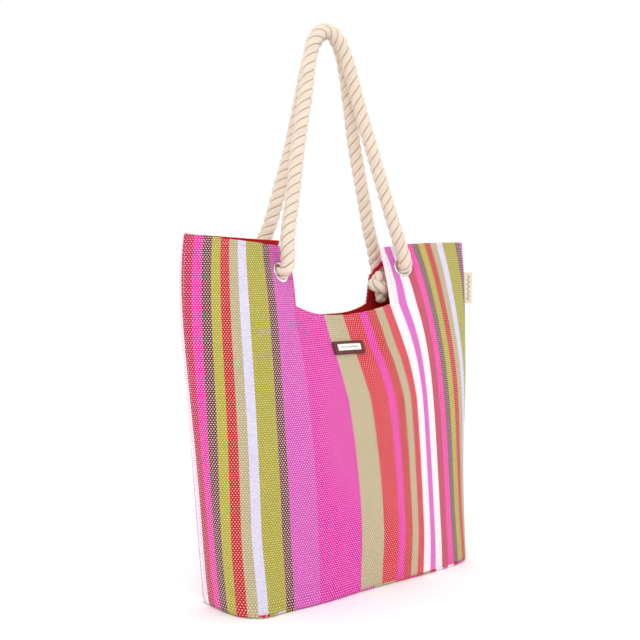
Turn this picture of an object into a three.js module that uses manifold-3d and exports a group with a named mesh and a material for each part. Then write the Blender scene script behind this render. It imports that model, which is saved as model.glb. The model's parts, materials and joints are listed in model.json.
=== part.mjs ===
// Beach bag: a striped canvas tote with a boxed base, a scooped mouth, a red lining and two rope handles.
// Millimetres, +Z up. The origin is on the floor under the middle of the base. -Y is the front.
import * as THREE from 'three';
import { mergeVertices } from 'three/addons/utils/BufferGeometryUtils.js';
import Module from 'manifold-3d';

const wasm = await Module();
wasm.setup();

// ---- driving dimensions ----
const HEIGHT = 380;               // height at which the wall shapes below reach their top values
const RIM_HEIGHT = 383.5;         // floor to the rim at the side seams
const PANEL_WIDTH_BASE = 433.5;   // front panel from side seam to side seam, at the base
const PANEL_WIDTH_TAPER = -5.1;   // how much that width changes up to the rim

// The mouth is drawn together by the handles, so each wall closes in towards the top.
const FRONT_WALL = { baseDepth: 65.9, topDepth: 12.7, closing: 2.94, baseSquareness: 6.05, topSquareness: 1.75,
  rounding: 0.3, dent: 62, dentRise: 2.15 };
const BACK_WALL = { baseDepth: 46, topDepth: 19, closing: 6, baseSquareness: 2.8, topSquareness: 2.37,
  rounding: 0.5, dent: 8, dentRise: 2.15 };
const DENT_REACH = 0.357;         // width of the middle dent, as a share of the half width

const SHELL_THICKNESS = 1.2;
const LINING_THICKNESS = 0.8;
const GAP = 0.3;
const SIDE_ZONE = 190;            // beyond this the panels run together at the side seams
const LINING_SIDE_SHARE = 0.6;    // a lining ends this share of a column short of each side seam
const LINING_EDGE_SLACK = 2.2;    // and stands this much further in there
const LINING_RIM_SHARE = 0.5;     // its rim lies this share of its inset below the panel's rim

const SEAM_HEIGHT = 3.6;         // the base seam stands this far above the floor
const SCOOP_HALF_WIDTH = 75;
const SCOOP_CORNER_HEIGHT = 309;
const SCOOP_MIDDLE_HEIGHT = 297.3;
// The front's cloth sways to one side about the scoop: its lean per mm of height, and where that is nothing.
const SWAY = { lean: 0.215, level: 335, fadeBottom: 200, most: 10, reach: 80, fade: 50 };
// How far the rim is lower beside the scoop than at the seam, and how quickly it drops.
const FRONT_LEFT_DROOP = { drop: 12.5, power: 1 };
const FRONT_RIGHT_DROOP = { drop: 9, power: 2 };
const BACK_LEFT_DROOP = { drop: 3.5, power: 1 };
const BACK_RIGHT_DROOP = { drop: 12.5, power: 1 };
const FOLD_REACH = 31;            // folded corner of the back rim: along the rim and down the scoop
const FOLD_DROP = 29;

// Eyelets: left and right are in X, and across is in mm from the middle to the right as seen from outside.
const FRONT_EYELETS = { left: { across: -96.6, height: 344.4 }, right: { across: 102.5, height: 351.3 } };
const BACK_EYELETS = { left: { across: 88, height: 343 }, right: { across: -98, height: 343 } };
const EYELET_OUTER_RADIUS = 12.5;
const BARREL_OUTER_RADIUS = 9;
const BARREL_INNER_RADIUS = 8;
const EYELET_HOLE_RADIUS = 9.4;
const HOLE_DEPTH = 24;            // the hole's cutter, long enough for both layers of cloth
const HOLE_SIDES = 20;
const FLANGE_STANDOFF = 0.9;      // the metal bears on a curved wall, so it touches only in places
const WASHER_STANDOFF = 1.4;
const FLANGE_THICKNESS = 0.9;
const WASHER_THICKNESS = 0.9;
const METAL_CHAMFER = 0.4;
const METAL_SIDES = 16;
const BARREL_TAIL = 0.6;          // how far the rolled barrel stands past the washer

const ROPE_RADIUS = 7.5;
const KNOTTED_ROPE_RADIUS = 6.5;  // the rope is pulled thinner in its knot
const ROPE_SIDES = 8;
const BALL_SIDES = 10;
const BALL_ROWS = 8;
const ROPE_STEPS = 38;
const PIVOT_REACH = 10;           // the rope bends this far out from the wall, where the handle swings
const PIVOT_CLEARANCE = 8.5;      // the handle starts this far above the bend, clear of it at every angle
// Each knot's middle, from its eyelet: further from (or nearer to) the bag's middle, back, and up.
const FRONT_KNOT = { outward: 18.5, back: 14.6, up: 0, radius: 11.5 };
const BACK_KNOT = { outward: -20, back: -18.7, up: -15, radius: 13.5 };
const KNOT_TAIL = 17;

// Half of each handle, from beside its eyelet to the top of its arch. The other half mirrors it in X,
// and the whole arch then leans to the right by the given amount at its top.
const FRONT_HANDLE = { lean: 0, half: [[81, -15.5, 382], [69, -8.5, 426], [54.8, 0.5, 482], [39, 8, 538],
  [29.5, 13, 578], [22, 16, 601], [12, 17.5, 614], [0, 18, 618.5]] };
const BACK_HANDLE = { lean: 14, half: [[83, 35, 374], [73.5, 32.5, 396], [63, 30.5, 432], [47.5, 30, 486],
  [36, 30.5, 540], [27, 32, 582], [19, 33.5, 605], [10, 34, 617], [0, 34, 621.5]] };
const LEAN_START = 400;           // the arch stands upright below this height
const LEAN_POWER = 1.2;

const BOARD_INSET = 10;
const BASE_LINING_INSET = 6;
const BOARD_THICKNESS = 2;
const BADGE = { halfWidth: 23, height: 261, halfHeight: 7, standoff: 1.2, thickness: 1.8 };
const PLATE = { halfWidth: 18, halfHeight: 3.4, thickness: 0.8 };
const LABEL = { reach: 15, bottom: 307, top: 346, ply: 0.5, looseness: 0.5 };

// ---- the fabric's shape ----
const OUTLINE_STEPS = 120;
const BASE_POINT_SHARE = 5;       // the base uses every fifth point of the outline
const smooth = (wall, name, base, h) => base + (wall[name] - base) * h ** (name === 'topDepth' ? wall.closing : wall.rounding);

/** Half of the bag's plan outline at height h (0 floor, 1 rim), for a given half width. */
function outlinePoints(wall, h, halfWidth) {
  const depth = smooth(wall, 'topDepth', wall.baseDepth, h);
  const squareness = smooth(wall, 'topSquareness', wall.baseSquareness, h);
  const dent = wall.dent * h ** wall.dentRise;
  const points = [];
  for (let i = 0; i <= OUTLINE_STEPS; i++) {
    const angle = Math.PI * i / OUTLINE_STEPS;
    const c = Math.cos(angle);
    const x = -halfWidth * Math.sign(c) * Math.abs(c) ** (2 / squareness);
    const inward = dent * Math.exp(-((x / (DENT_REACH * halfWidth)) ** 2));
    points.push([x, depth * Math.abs(Math.sin(angle)) ** (2 / squareness) - inward]);
  }
  return points;
}

function runningLength(points) {
  const length = [0];
  for (let i = 1; i < points.length; i++) {
    length.push(length[i - 1] + Math.hypot(points[i][0] - points[i - 1][0], points[i][1] - points[i - 1][1]));
  }
  return length;
}

/** The half width at height h, at which the front panel's fabric is just used up. */
const halfWidths = new Map();
function halfWidthAt(h) {
  if (!halfWidths.has(h)) {
    let low = 100;
    let high = 260;
    for (let i = 0; i < 30; i++) {
      const middle = (low + high) / 2;
      const length = runningLength(outlinePoints(FRONT_WALL, h, middle))[OUTLINE_STEPS];
      if (length > PANEL_WIDTH_BASE + PANEL_WIDTH_TAPER * h) high = middle;
      else low = middle;
    }
    halfWidths.set(h, (low + high) / 2);
  }
  return halfWidths.get(h);
}

/** A point on a panel's outer face. across is in mm from the middle, to the right as seen from outside. */
function panelPoint(front, across, height) {
  const wall = front ? FRONT_WALL : BACK_WALL;
  const h = height / HEIGHT;
  const points = outlinePoints(wall, h, halfWidthAt(h));
  const length = runningLength(points);
  const total = length[OUTLINE_STEPS];
  const target = total / 2 + across / PANEL_WIDTH_BASE * total;
  let i = 1;
  while (i < OUTLINE_STEPS && length[i] < target) i++;
  const share = (target - length[i - 1]) / (length[i] - length[i - 1]);
  const x = points[i - 1][0] + (points[i][0] - points[i - 1][0]) * share;
  const y = points[i - 1][1] + (points[i][1] - points[i - 1][1]) * share;
  return front ? new THREE.Vector3(x, -y, height) : new THREE.Vector3(-x, y, height);
}

/** The outward normal of a panel, from two short steps across and up. */
function panelNormal(front, across, height) {
  const step = 2;
  const limit = PANEL_WIDTH_BASE / 2 - step;
  const a = Math.max(-limit, Math.min(limit, across));
  const h = Math.min(HEIGHT - step, Math.max(step, height));
  const sideways = panelPoint(front, a + step, h).sub(panelPoint(front, a - step, h));
  const upward = panelPoint(front, a, h + step).sub(panelPoint(front, a, h - step));
  return sideways.cross(upward).normalize();
}

/** A point inward of a panel's outer face, kept on the panel's own side of the side seams. */
function offsetPoint(front, across, height, inward) {
  const point = panelPoint(front, across, height).addScaledVector(panelNormal(front, across, height), -inward);
  if (Math.abs(across) > SIDE_ZONE) {
    point.y = front ? Math.min(point.y, -GAP) : Math.max(point.y, GAP);
  }
  return point;
}

// ---- solids ----
function meshOf(name, geometry, material, matrix) {
  const mesh = new THREE.Mesh(geometry, material);
  mesh.name = name;
  if (matrix) {
    mesh.applyMatrix4(matrix);
  }
  return mesh;
}

function geometryOf(points, triangles) {
  const geometry = new THREE.BufferGeometry();
  geometry.setAttribute('position', new THREE.Float32BufferAttribute(points.flatMap((p) => [p.x, p.y, p.z]), 3));
  geometry.setIndex(triangles.flat());
  return geometry;
}

/** A sheet of fabric as a closed solid: two grids of points, with a wall round the cells in use. */
function sheetSolid(columns, rows, inUse, outerPoint, innerPoint) {
  const points = [];
  const triangles = [];
  const numbers = new Map();
  const corner = (i, j, inner) => {
    const key = `${i},${j},${inner}`;
    if (!numbers.has(key)) {
      numbers.set(key, points.length);
      points.push(inner ? innerPoint(i, j) : outerPoint(i, j));
    }
    return numbers.get(key);
  };
  const used = (i, j) => i >= 0 && j >= 0 && i < columns && j < rows && inUse(i, j);
  const quad = (a, b, c, d) => triangles.push([a, b, c], [a, c, d]);
  for (let i = 0; i < columns; i++) {
    for (let j = 0; j < rows; j++) {
      if (!used(i, j)) continue;
      quad(corner(i, j, 0), corner(i + 1, j, 0), corner(i + 1, j + 1, 0), corner(i, j + 1, 0));
      quad(corner(i, j, 1), corner(i, j + 1, 1), corner(i + 1, j + 1, 1), corner(i + 1, j, 1));
      const sides = [[i, j - 1, i + 1, j, i, j], [i + 1, j, i + 1, j + 1, i + 1, j],
        [i, j + 1, i, j + 1, i + 1, j + 1], [i - 1, j, i, j, i, j + 1]];
      for (const [ni, nj, ai, aj, bi, bj] of sides) {
        if (!used(ni, nj)) quad(corner(ai, aj, 0), corner(bi, bj, 0), corner(bi, bj, 1), corner(ai, aj, 1));
      }
    }
  }
  return geometryOf(points, triangles);
}

function solidOf(geometry) {
  const plain = geometry.clone();
  plain.deleteAttribute('normal');
  plain.deleteAttribute('uv');
  const merged = mergeVertices(plain, 1e-4);
  return new wasm.Manifold(new wasm.Mesh({
    numProp: 3,
    vertProperties: new Float32Array(merged.attributes.position.array),
    triVerts: new Uint32Array(merged.index.array),
  }));
}

function geometryOfSolid(solid) {
  const mesh = solid.getMesh();
  const geometry = new THREE.BufferGeometry();
  geometry.setAttribute('position', new THREE.BufferAttribute(mesh.vertProperties, 3));
  geometry.setIndex(new THREE.BufferAttribute(mesh.triVerts, 1));
  return geometry;
}

// ---- panels and linings ----
const SIDE_COLUMNS = 9;
const SCOOP_COLUMNS = 8;
const LOWER_ROWS = 7;
const EAR_ROWS = 3;

function columnPositions() {
  const edge = PANEL_WIDTH_BASE / 2 - GAP;
  const columns = [];
  for (let i = 0; i < SIDE_COLUMNS; i++) columns.push(-edge + (edge - SCOOP_HALF_WIDTH) * i / SIDE_COLUMNS);
  for (let i = 0; i < SCOOP_COLUMNS; i++) columns.push(-SCOOP_HALF_WIDTH + 2 * SCOOP_HALF_WIDTH * i / SCOOP_COLUMNS);
  for (let i = 0; i <= SIDE_COLUMNS; i++) columns.push(SCOOP_HALF_WIDTH + (edge - SCOOP_HALF_WIDTH) * i / SIDE_COLUMNS);
  return columns;
}

/** Height of the scooped edge, flat beyond the scoop so that the ears start level. */
function scoopHeight(across) {
  const share = Math.min(1, Math.abs(across) / SCOOP_HALF_WIDTH);
  return SCOOP_MIDDLE_HEIGHT + (SCOOP_CORNER_HEIGHT - SCOOP_MIDDLE_HEIGHT) * share ** 2;
}

/** Height of the rim of an ear. One corner of the back rim is folded down behind its rope. */
function earHeight(front, across) {
  const beside = Math.abs(across) - SCOOP_HALF_WIDTH;
  const inward = 1 - beside / (PANEL_WIDTH_BASE / 2 - SCOOP_HALF_WIDTH);
  const frontDroop = across < 0 ? FRONT_LEFT_DROOP : FRONT_RIGHT_DROOP;
  const backDroop = across < 0 ? BACK_RIGHT_DROOP : BACK_LEFT_DROOP;
  const { drop, power } = front ? frontDroop : backDroop;
  const rim = RIM_HEIGHT - drop * Math.max(0, inward) ** power;
  const folded = !front && across < 0;
  return folded ? rim - FOLD_DROP * Math.max(0, 1 - beside / FOLD_REACH) : rim;
}

/** Where a place of the flat pattern lies across the front: the cloth sways to one side about the scoop. */
function swayedAcross(front, across, height) {
  if (!front) return across;
  const atScoop = SWAY.lean * (SCOOP_CORNER_HEIGHT - SWAY.level);
  const below = Math.max(0, (height - SWAY.fadeBottom) / (SCOOP_CORNER_HEIGHT - SWAY.fadeBottom));
  const sway = height < SCOOP_CORNER_HEIGHT ? atScoop * below : Math.min(SWAY.most, SWAY.lean * (height - SWAY.level));
  const share = Math.min(1, Math.max(0, 1 - (Math.abs(across) - SWAY.reach) / SWAY.fade));
  return across + sway * share;
}

function eyeletHoles(front) {
  return [-1, 1].map((side) => {
    const hole = new THREE.CylinderGeometry(EYELET_HOLE_RADIUS, EYELET_HOLE_RADIUS, HOLE_DEPTH, HOLE_SIDES)
      .rotateX(Math.PI / 2);
    return hole.applyMatrix4(eyeletFrame(front, side));
  });
}

/** A panel or lining: inset is how far its outer face lies inside the bag's outer face. */
function panelGeometry(front, inset, thickness) {
  const columns = columnPositions();
  const last = columns.length - 1;
  const rimSlack = inset * LINING_RIM_SHARE;
  const heightOf = (i, j) => {
    const top = scoopHeight(columns[i]) - rimSlack;
    if (j <= LOWER_ROWS) return SEAM_HEIGHT + GAP + (top - SEAM_HEIGHT - GAP) * j / LOWER_ROWS;
    return top + (earHeight(front, columns[i]) - rimSlack - top) * (j - LOWER_ROWS) / EAR_ROWS;
  };
  const inUse = (i, j) => j < LOWER_ROWS || i < SIDE_COLUMNS || i >= SIDE_COLUMNS + SCOOP_COLUMNS;
  const placeOf = (i, j) => swayedAcross(front, columns[i], heightOf(i, j));
  const gridPoint = (i, j, depth) => {
    const point = offsetPoint(front, placeOf(i, j), heightOf(i, j), depth);
    if (inset === 0 || (i > 0 && i < last)) return point;
    const next = i === 0 ? 1 : last - 1;
    const beside = offsetPoint(front, placeOf(next, j), heightOf(next, j), depth + LINING_EDGE_SLACK);
    return point.lerp(beside, LINING_SIDE_SHARE);
  };
  const sheet = sheetSolid(last, LOWER_ROWS + EAR_ROWS, inUse,
    (i, j) => gridPoint(i, j, inset), (i, j) => gridPoint(i, j, inset + thickness));
  let solid = solidOf(sheet);
  for (const hole of eyeletHoles(front)) solid = solid.subtract(solidOf(hole));
  return geometryOfSolid(solid);
}

// ---- base ----
function baseOutline(inset) {
  const half = (wall) => outlinePoints(wall, 0, halfWidthAt(0)).filter((point, i) => i % BASE_POINT_SHARE === 0);
  const around = [...half(FRONT_WALL).map(([x, y]) => [x, -y]), ...half(BACK_WALL).slice(1, -1).reverse()];
  return around.map(([x, y], i) => {
    const [ax, ay] = around[(i + around.length - 1) % around.length];
    const [bx, by] = around[(i + 1) % around.length];
    const length = Math.hypot(bx - ax, by - ay);
    return new THREE.Vector2(x - inset * (by - ay) / length, y + inset * (bx - ax) / length);
  });
}

/** The base panel is a shallow tray: flat in the middle, with its edge turned up to the base seam. */
function baseTray() {
  const rings = [];
  const inside = SEAM_HEIGHT - SHELL_THICKNESS;
  for (const angle of [0, 45, 90]) {
    const turn = THREE.MathUtils.degToRad(angle);
    rings.push([SEAM_HEIGHT * (1 - Math.sin(turn)), SEAM_HEIGHT * (1 - Math.cos(turn))]);
  }
  for (const angle of [90, 45, 0]) {
    const turn = THREE.MathUtils.degToRad(angle);
    rings.push([SEAM_HEIGHT - inside * Math.sin(turn), SEAM_HEIGHT - inside * Math.cos(turn)]);
  }
  const points = [];
  const triangles = [];
  for (const [inset, height] of rings) {
    for (const point of baseOutline(inset)) points.push(new THREE.Vector3(point.x, point.y, height));
  }
  const count = points.length / rings.length;
  for (let ring = 0; ring < rings.length - 1; ring++) {
    for (let i = 0; i < count; i++) {
      const a = ring * count + i;
      const b = ring * count + (i + 1) % count;
      triangles.push([a, b, b + count], [a, b + count, a + count]);
    }
  }
  const cap = THREE.ShapeUtils.triangulateShape(baseOutline(SEAM_HEIGHT), []);
  for (const [a, b, c] of cap) triangles.push([a, c, b]);
  const last = (rings.length - 1) * count;
  for (const [a, b, c] of cap) triangles.push([last + a, last + b, last + c]);
  return geometryOf(points, triangles);
}

function basePlate(inset, bottom, thickness) {
  const shape = new THREE.Shape(baseOutline(inset));
  return new THREE.ExtrudeGeometry(shape, { depth: thickness, bevelEnabled: false }).translate(0, 0, bottom);
}

// ---- eyelets, knots and handles ----
const wallThickness = SHELL_THICKNESS + GAP + LINING_THICKNESS;

/** An eyelet's frame: local +Z is the way out of the bag. side is -1 for left and 1 for right in X. */
function eyeletFrame(front, side) {
  const eyelets = front ? FRONT_EYELETS : BACK_EYELETS;
  const { across, height } = side < 0 ? eyelets.left : eyelets.right;
  const centre = panelPoint(front, across, height);
  const turn = new THREE.Quaternion().setFromUnitVectors(new THREE.Vector3(0, 0, 1), panelNormal(front, across, height));
  return new THREE.Matrix4().compose(centre, turn, new THREE.Vector3(1, 1, 1));
}

const lathe = (profile, sides) =>
  new THREE.LatheGeometry(profile.map(([r, z]) => new THREE.Vector2(r, z)), sides).rotateX(Math.PI / 2);

function eyeletGeometry() {
  const under = FLANGE_STANDOFF;
  const top = under + FLANGE_THICKNESS;
  const end = -(wallThickness + WASHER_STANDOFF + WASHER_THICKNESS + BARREL_TAIL);
  return lathe([[BARREL_INNER_RADIUS, end], [BARREL_OUTER_RADIUS, end], [BARREL_OUTER_RADIUS, under],
    [EYELET_OUTER_RADIUS, under], [EYELET_OUTER_RADIUS - METAL_CHAMFER, top],
    [BARREL_INNER_RADIUS + METAL_CHAMFER, top], [BARREL_INNER_RADIUS, top - METAL_CHAMFER],
    [BARREL_INNER_RADIUS, end]], METAL_SIDES);
}

function washerGeometry() {
  const top = -(wallThickness + WASHER_STANDOFF);
  const bottom = top - WASHER_THICKNESS;
  const bore = BARREL_OUTER_RADIUS + GAP;
  return lathe([[bore, bottom], [EYELET_OUTER_RADIUS - METAL_CHAMFER, bottom], [EYELET_OUTER_RADIUS, top], [bore, top],
    [bore, bottom]], METAL_SIDES);
}

function rodBetween(start, end, radius, sides) {
  const along = end.clone().sub(start);
  const turn = new THREE.Quaternion().setFromUnitVectors(new THREE.Vector3(0, 1, 0), along.clone().normalize());
  const middle = start.clone().add(end).multiplyScalar(0.5);
  return new THREE.CylinderGeometry(radius, radius, along.length(), sides)
    .applyMatrix4(new THREE.Matrix4().compose(middle, turn, new THREE.Vector3(1, 1, 1)));
}

/** A rope end: the bend outside, the stretch in the eyelet, the knot inside the bag and its short tail. */
function knotGeometry(front, side) {
  const knot = front ? FRONT_KNOT : BACK_KNOT;
  const frame = eyeletFrame(front, side);
  const place = (z) => new THREE.Vector3(0, 0, z).applyMatrix4(frame);
  const centre = place(0).add(new THREE.Vector3(side * knot.outward, knot.back, knot.up));
  const inner = place(-(wallThickness + ROPE_RADIUS));
  const bend = place(PIVOT_REACH);
  const elbow = new THREE.SphereGeometry(ROPE_RADIUS, ROPE_SIDES, BALL_ROWS).translate(bend.x, bend.y, bend.z);
  const ball = new THREE.SphereGeometry(knot.radius, BALL_SIDES, BALL_ROWS).translate(centre.x, centre.y, centre.z);
  const tailEnd = centre.clone().add(new THREE.Vector3(0, 0, -KNOT_TAIL));
  return geometryOfSolid(solidOf(ball)
    .add(solidOf(rodBetween(inner, bend, ROPE_RADIUS, ROPE_SIDES)))
    .add(solidOf(elbow))
    .add(solidOf(rodBetween(inner, centre, KNOTTED_ROPE_RADIUS, ROPE_SIDES)))
    .add(solidOf(rodBetween(centre, tailEnd, KNOTTED_ROPE_RADIUS, ROPE_SIDES))));
}

/** The line of a handle: up from each bend, and over the arch, which leans to one side at its top. */
function handlePath(front) {
  const { lean, half } = front ? FRONT_HANDLE : BACK_HANDLE;
  const top = half[half.length - 1][2];
  const placed = (side) => ([x, y, z]) => {
    const leaning = lean * Math.max(0, (z - LEAN_START) / (top - LEAN_START)) ** LEAN_POWER;
    return new THREE.Vector3(side * x + leaning, y, z);
  };
  const rising = (side) => {
    const pivot = new THREE.Vector3(0, 0, PIVOT_REACH).applyMatrix4(eyeletFrame(front, side));
    return [0, 2].map((rise) => pivot.clone().add(new THREE.Vector3(0, 0, PIVOT_CLEARANCE + rise)));
  };
  const left = [...rising(-1), ...half.slice(0, -1).map(placed(-1))];
  const right = [...rising(1), ...half.map(placed(1))];
  return new THREE.CatmullRomCurve3([...left, ...right.reverse()], false, 'centripetal');
}

function ropeSection() {
  const section = new THREE.Shape();
  for (let i = 0; i < ROPE_SIDES; i++) {
    const angle = 2 * Math.PI * (i + 0.5) / ROPE_SIDES;
    if (i === 0) section.moveTo(ROPE_RADIUS * Math.cos(angle), ROPE_RADIUS * Math.sin(angle));
    else section.lineTo(ROPE_RADIUS * Math.cos(angle), ROPE_RADIUS * Math.sin(angle));
  }
  section.closePath();
  return section;
}

const handleGeometry = (front) =>
  new THREE.ExtrudeGeometry(ropeSection(), { steps: ROPE_STEPS, extrudePath: handlePath(front) });

// ---- badge and label ----
/** A small plate that follows the front panel, standing from one distance to another off its face. */
function appliedPlate(size, height, under, thickness) {
  const columns = 6;
  const at = (i, j, off) => offsetPoint(true, size.halfWidth * (2 * i / columns - 1),
    height + size.halfHeight * (2 * j - 1), -off);
  return sheetSolid(columns, 1, () => true, (i, j) => at(i, j, under + thickness), (i, j) => at(i, j, under));
}

/** A folded ribbon sewn into the right-hand side seam. */
function labelGeometry() {
  const seam = panelPoint(true, PANEL_WIDTH_BASE / 2, (LABEL.bottom + LABEL.top) / 2).x + 1;
  const outer = LABEL.ply + LABEL.looseness / 2;
  const inner = LABEL.looseness / 2;
  const bend = seam + LABEL.reach - outer;
  const shape = new THREE.Shape();
  shape.moveTo(seam, -outer);
  shape.lineTo(bend, -outer);
  shape.absarc(bend, 0, outer, -Math.PI / 2, Math.PI / 2, false);
  shape.lineTo(seam, outer);
  shape.lineTo(seam, inner);
  shape.lineTo(bend, inner);
  shape.absarc(bend, 0, inner, Math.PI / 2, -Math.PI / 2, true);
  shape.lineTo(seam, -inner);
  shape.closePath();
  return new THREE.ExtrudeGeometry(shape, { depth: LABEL.top - LABEL.bottom, bevelEnabled: false, curveSegments: 5 })
    .translate(0, 0, LABEL.bottom);
}

// ---- materials ----
const finish = (color, roughness, metalness = 0) => new THREE.MeshStandardMaterial({ color, roughness, metalness });
const stripedCanvas = finish(0xd86aa0, 0.85);
const redLining = finish(0xa00c14, 0.8);
const board = finish(0x3a3a3c, 0.7);
const cottonRope = finish(0xeadbc6, 0.95);
const nickel = finish(0xc9c9cc, 0.3, 1);
const brownLeather = finish(0x5a1f1a, 0.6);
const naturalTape = finish(0xe8e0cc, 0.9);

// ---- assembly ----
const bag = new THREE.Group();
const lowerLining = SHELL_THICKNESS + GAP;
for (const front of [true, false]) {
  const word = front ? 'front' : 'back';
  bag.add(meshOf(`${word}_panel`, panelGeometry(front, 0, SHELL_THICKNESS), stripedCanvas));
  bag.add(meshOf(`${word}_lining`, panelGeometry(front, lowerLining, LINING_THICKNESS), redLining));
  bag.add(meshOf(`${word}_handle_rope`, handleGeometry(front), cottonRope));
  for (const side of [-1, 1]) {
    const hand = side < 0 ? 'left' : 'right';
    const frame = eyeletFrame(front, side);
    bag.add(meshOf(`${word}_${hand}_eyelet`, eyeletGeometry(), nickel, frame));
    bag.add(meshOf(`${word}_${hand}_washer`, washerGeometry(), nickel, frame));
    bag.add(meshOf(`${word}_${hand}_knot`, knotGeometry(front, side), cottonRope));
  }
}
const boardBottom = SHELL_THICKNESS + GAP;
const baseLiningBottom = boardBottom + BOARD_THICKNESS + GAP;
bag.add(meshOf('base_panel', baseTray(), stripedCanvas));
bag.add(meshOf('base_board', basePlate(BOARD_INSET, boardBottom, BOARD_THICKNESS), board));
bag.add(meshOf('base_lining', basePlate(BASE_LINING_INSET, baseLiningBottom, LINING_THICKNESS), redLining));
bag.add(meshOf('badge_patch', appliedPlate(BADGE, BADGE.height, BADGE.standoff, BADGE.thickness), brownLeather));
const plateUnder = BADGE.standoff + BADGE.thickness + GAP;
bag.add(meshOf('badge_plate', appliedPlate(PLATE, BADGE.height, plateUnder, PLATE.thickness), nickel));
bag.add(meshOf('side_label', labelGeometry(), naturalTape));

export default bag;
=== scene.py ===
# Beach bag: striped woven tote with a boxed base, a scooped mouth, a red lining and two rope handles.
# Shapes are worked out in millimetres (+Z up, -Y the front) and become metres when a mesh is made.
import json
import math

import bmesh
import bpy
import numpy as np
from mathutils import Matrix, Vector


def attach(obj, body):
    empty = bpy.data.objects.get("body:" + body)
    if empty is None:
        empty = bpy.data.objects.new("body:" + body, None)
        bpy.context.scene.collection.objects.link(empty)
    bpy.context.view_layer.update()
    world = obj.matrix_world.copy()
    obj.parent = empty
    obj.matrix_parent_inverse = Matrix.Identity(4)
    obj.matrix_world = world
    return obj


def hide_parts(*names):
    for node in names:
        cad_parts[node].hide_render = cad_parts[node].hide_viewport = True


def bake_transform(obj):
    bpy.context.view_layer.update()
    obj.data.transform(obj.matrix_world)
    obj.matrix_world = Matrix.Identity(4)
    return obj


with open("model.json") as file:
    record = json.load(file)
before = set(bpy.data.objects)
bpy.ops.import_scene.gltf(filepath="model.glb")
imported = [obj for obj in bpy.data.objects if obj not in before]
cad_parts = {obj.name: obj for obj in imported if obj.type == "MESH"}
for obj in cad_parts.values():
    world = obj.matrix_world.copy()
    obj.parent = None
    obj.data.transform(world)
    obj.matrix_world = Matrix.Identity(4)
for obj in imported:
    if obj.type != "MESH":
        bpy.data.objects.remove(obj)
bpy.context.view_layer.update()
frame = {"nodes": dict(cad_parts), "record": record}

# ---------------------------------------------------------------------------------------------------
# Camera, light and floor. The bag is seen from its left front corner, a little below its rim, and
# stands on a plain pale floor in soft light from the front left with a weaker fill on the right.
CAMERA_PLACE = (-0.7042, -0.8441, 0.3372)
CAMERA_HEADING = math.radians(38.84)
CAMERA_DIP = math.radians(2.39)
CAMERA_LENS = 54.73

camera = bpy.data.objects.new("camera", bpy.data.cameras.new("camera"))
camera.data.lens = CAMERA_LENS
camera.data.sensor_width = 36.0
camera.location = CAMERA_PLACE
camera.rotation_euler = (math.pi / 2 - CAMERA_DIP, 0.0, -CAMERA_HEADING)
bpy.context.scene.collection.objects.link(camera)
bpy.context.scene.camera = camera
bpy.context.scene.view_settings.view_transform = "Standard"

world = bpy.data.worlds.new("studio")
world.use_nodes = True
world.node_tree.nodes["Background"].inputs["Color"].default_value = (1.0, 1.0, 1.0, 1.0)
world.node_tree.nodes["Background"].inputs["Strength"].default_value = 1.0
bpy.context.scene.world = world


def soft_light(name, place, aim, width, power):
    """A square area light at a place, turned to face a point."""
    light = bpy.data.objects.new(name, bpy.data.lights.new(name, "AREA"))
    light.data.size = width
    light.data.energy = power
    light.location = place
    light.rotation_euler = (Vector(aim) - Vector(place)).to_track_quat("-Z", "Y").to_euler()
    bpy.context.scene.collection.objects.link(light)


soft_light("key_light", (-1.3, -1.5, 1.5), (0.0, 0.0, 0.3), 1.2, 11.0)
soft_light("fill_light", (1.6, -0.9, 0.9), (0.0, 0.0, 0.3), 1.4, 3.0)
soft_light("top_light", (0.2, 0.4, 2.0), (0.0, 0.0, 0.3), 1.2, 4.0)


def add_node(tree, kind, *sources, **settings):
    """A shader node whose first inputs take the sources: other nodes' sockets, or plain values."""
    made = tree.nodes.new("ShaderNode" + kind)
    for name, value in settings.items():
        setattr(made, name, value)
    for socket, source in zip(made.inputs, sources):
        if isinstance(source, bpy.types.NodeSocket):
            tree.links.new(source, socket)
        elif source is not None:
            socket.default_value = source
    return made


def calc(tree, operation, *sources):
    """One step of arithmetic on numbers, as its output socket."""
    return add_node(tree, "Math", *sources, operation=operation).outputs[0]


def blend_colour(tree, kind, share, first, second):
    """Two colours mixed by a share, as the output socket."""
    made = add_node(tree, "Mix", data_type="RGBA", blend_type=kind)
    for place, source in ((0, share), (6, first), (7, second)):
        if isinstance(source, bpy.types.NodeSocket):
            tree.links.new(source, made.inputs[place])
        else:
            made.inputs[place].default_value = source
    return made.outputs[2]


def linear(code, alpha=1.0):
    """A colour written as six hexadecimal digits, in linear light."""
    parts = [int(code[i:i + 2], 16) / 255 for i in (0, 2, 4)]
    return tuple(c / 12.92 if c <= 0.04045 else ((c + 0.055) / 1.055) ** 2.4 for c in parts) + (alpha,)


def new_material(name, roughness, metallic=0.0):
    """An empty node material with its Principled shader."""
    material = bpy.data.materials.new(name)
    material.use_nodes = True
    shader = material.node_tree.nodes["Principled BSDF"]
    shader.inputs["Roughness"].default_value = roughness
    shader.inputs["Metallic"].default_value = metallic
    return material, material.node_tree, shader


def add_bump(tree, shader, height, distance, strength=1.0):
    """Relief on a shader from a height socket; distance is the relief's depth in metres."""
    bump = add_node(tree, "Bump", strength, distance)
    tree.links.new(height, bump.inputs["Height"])
    tree.links.new(bump.outputs["Normal"], shader.inputs["Normal"])


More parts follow.
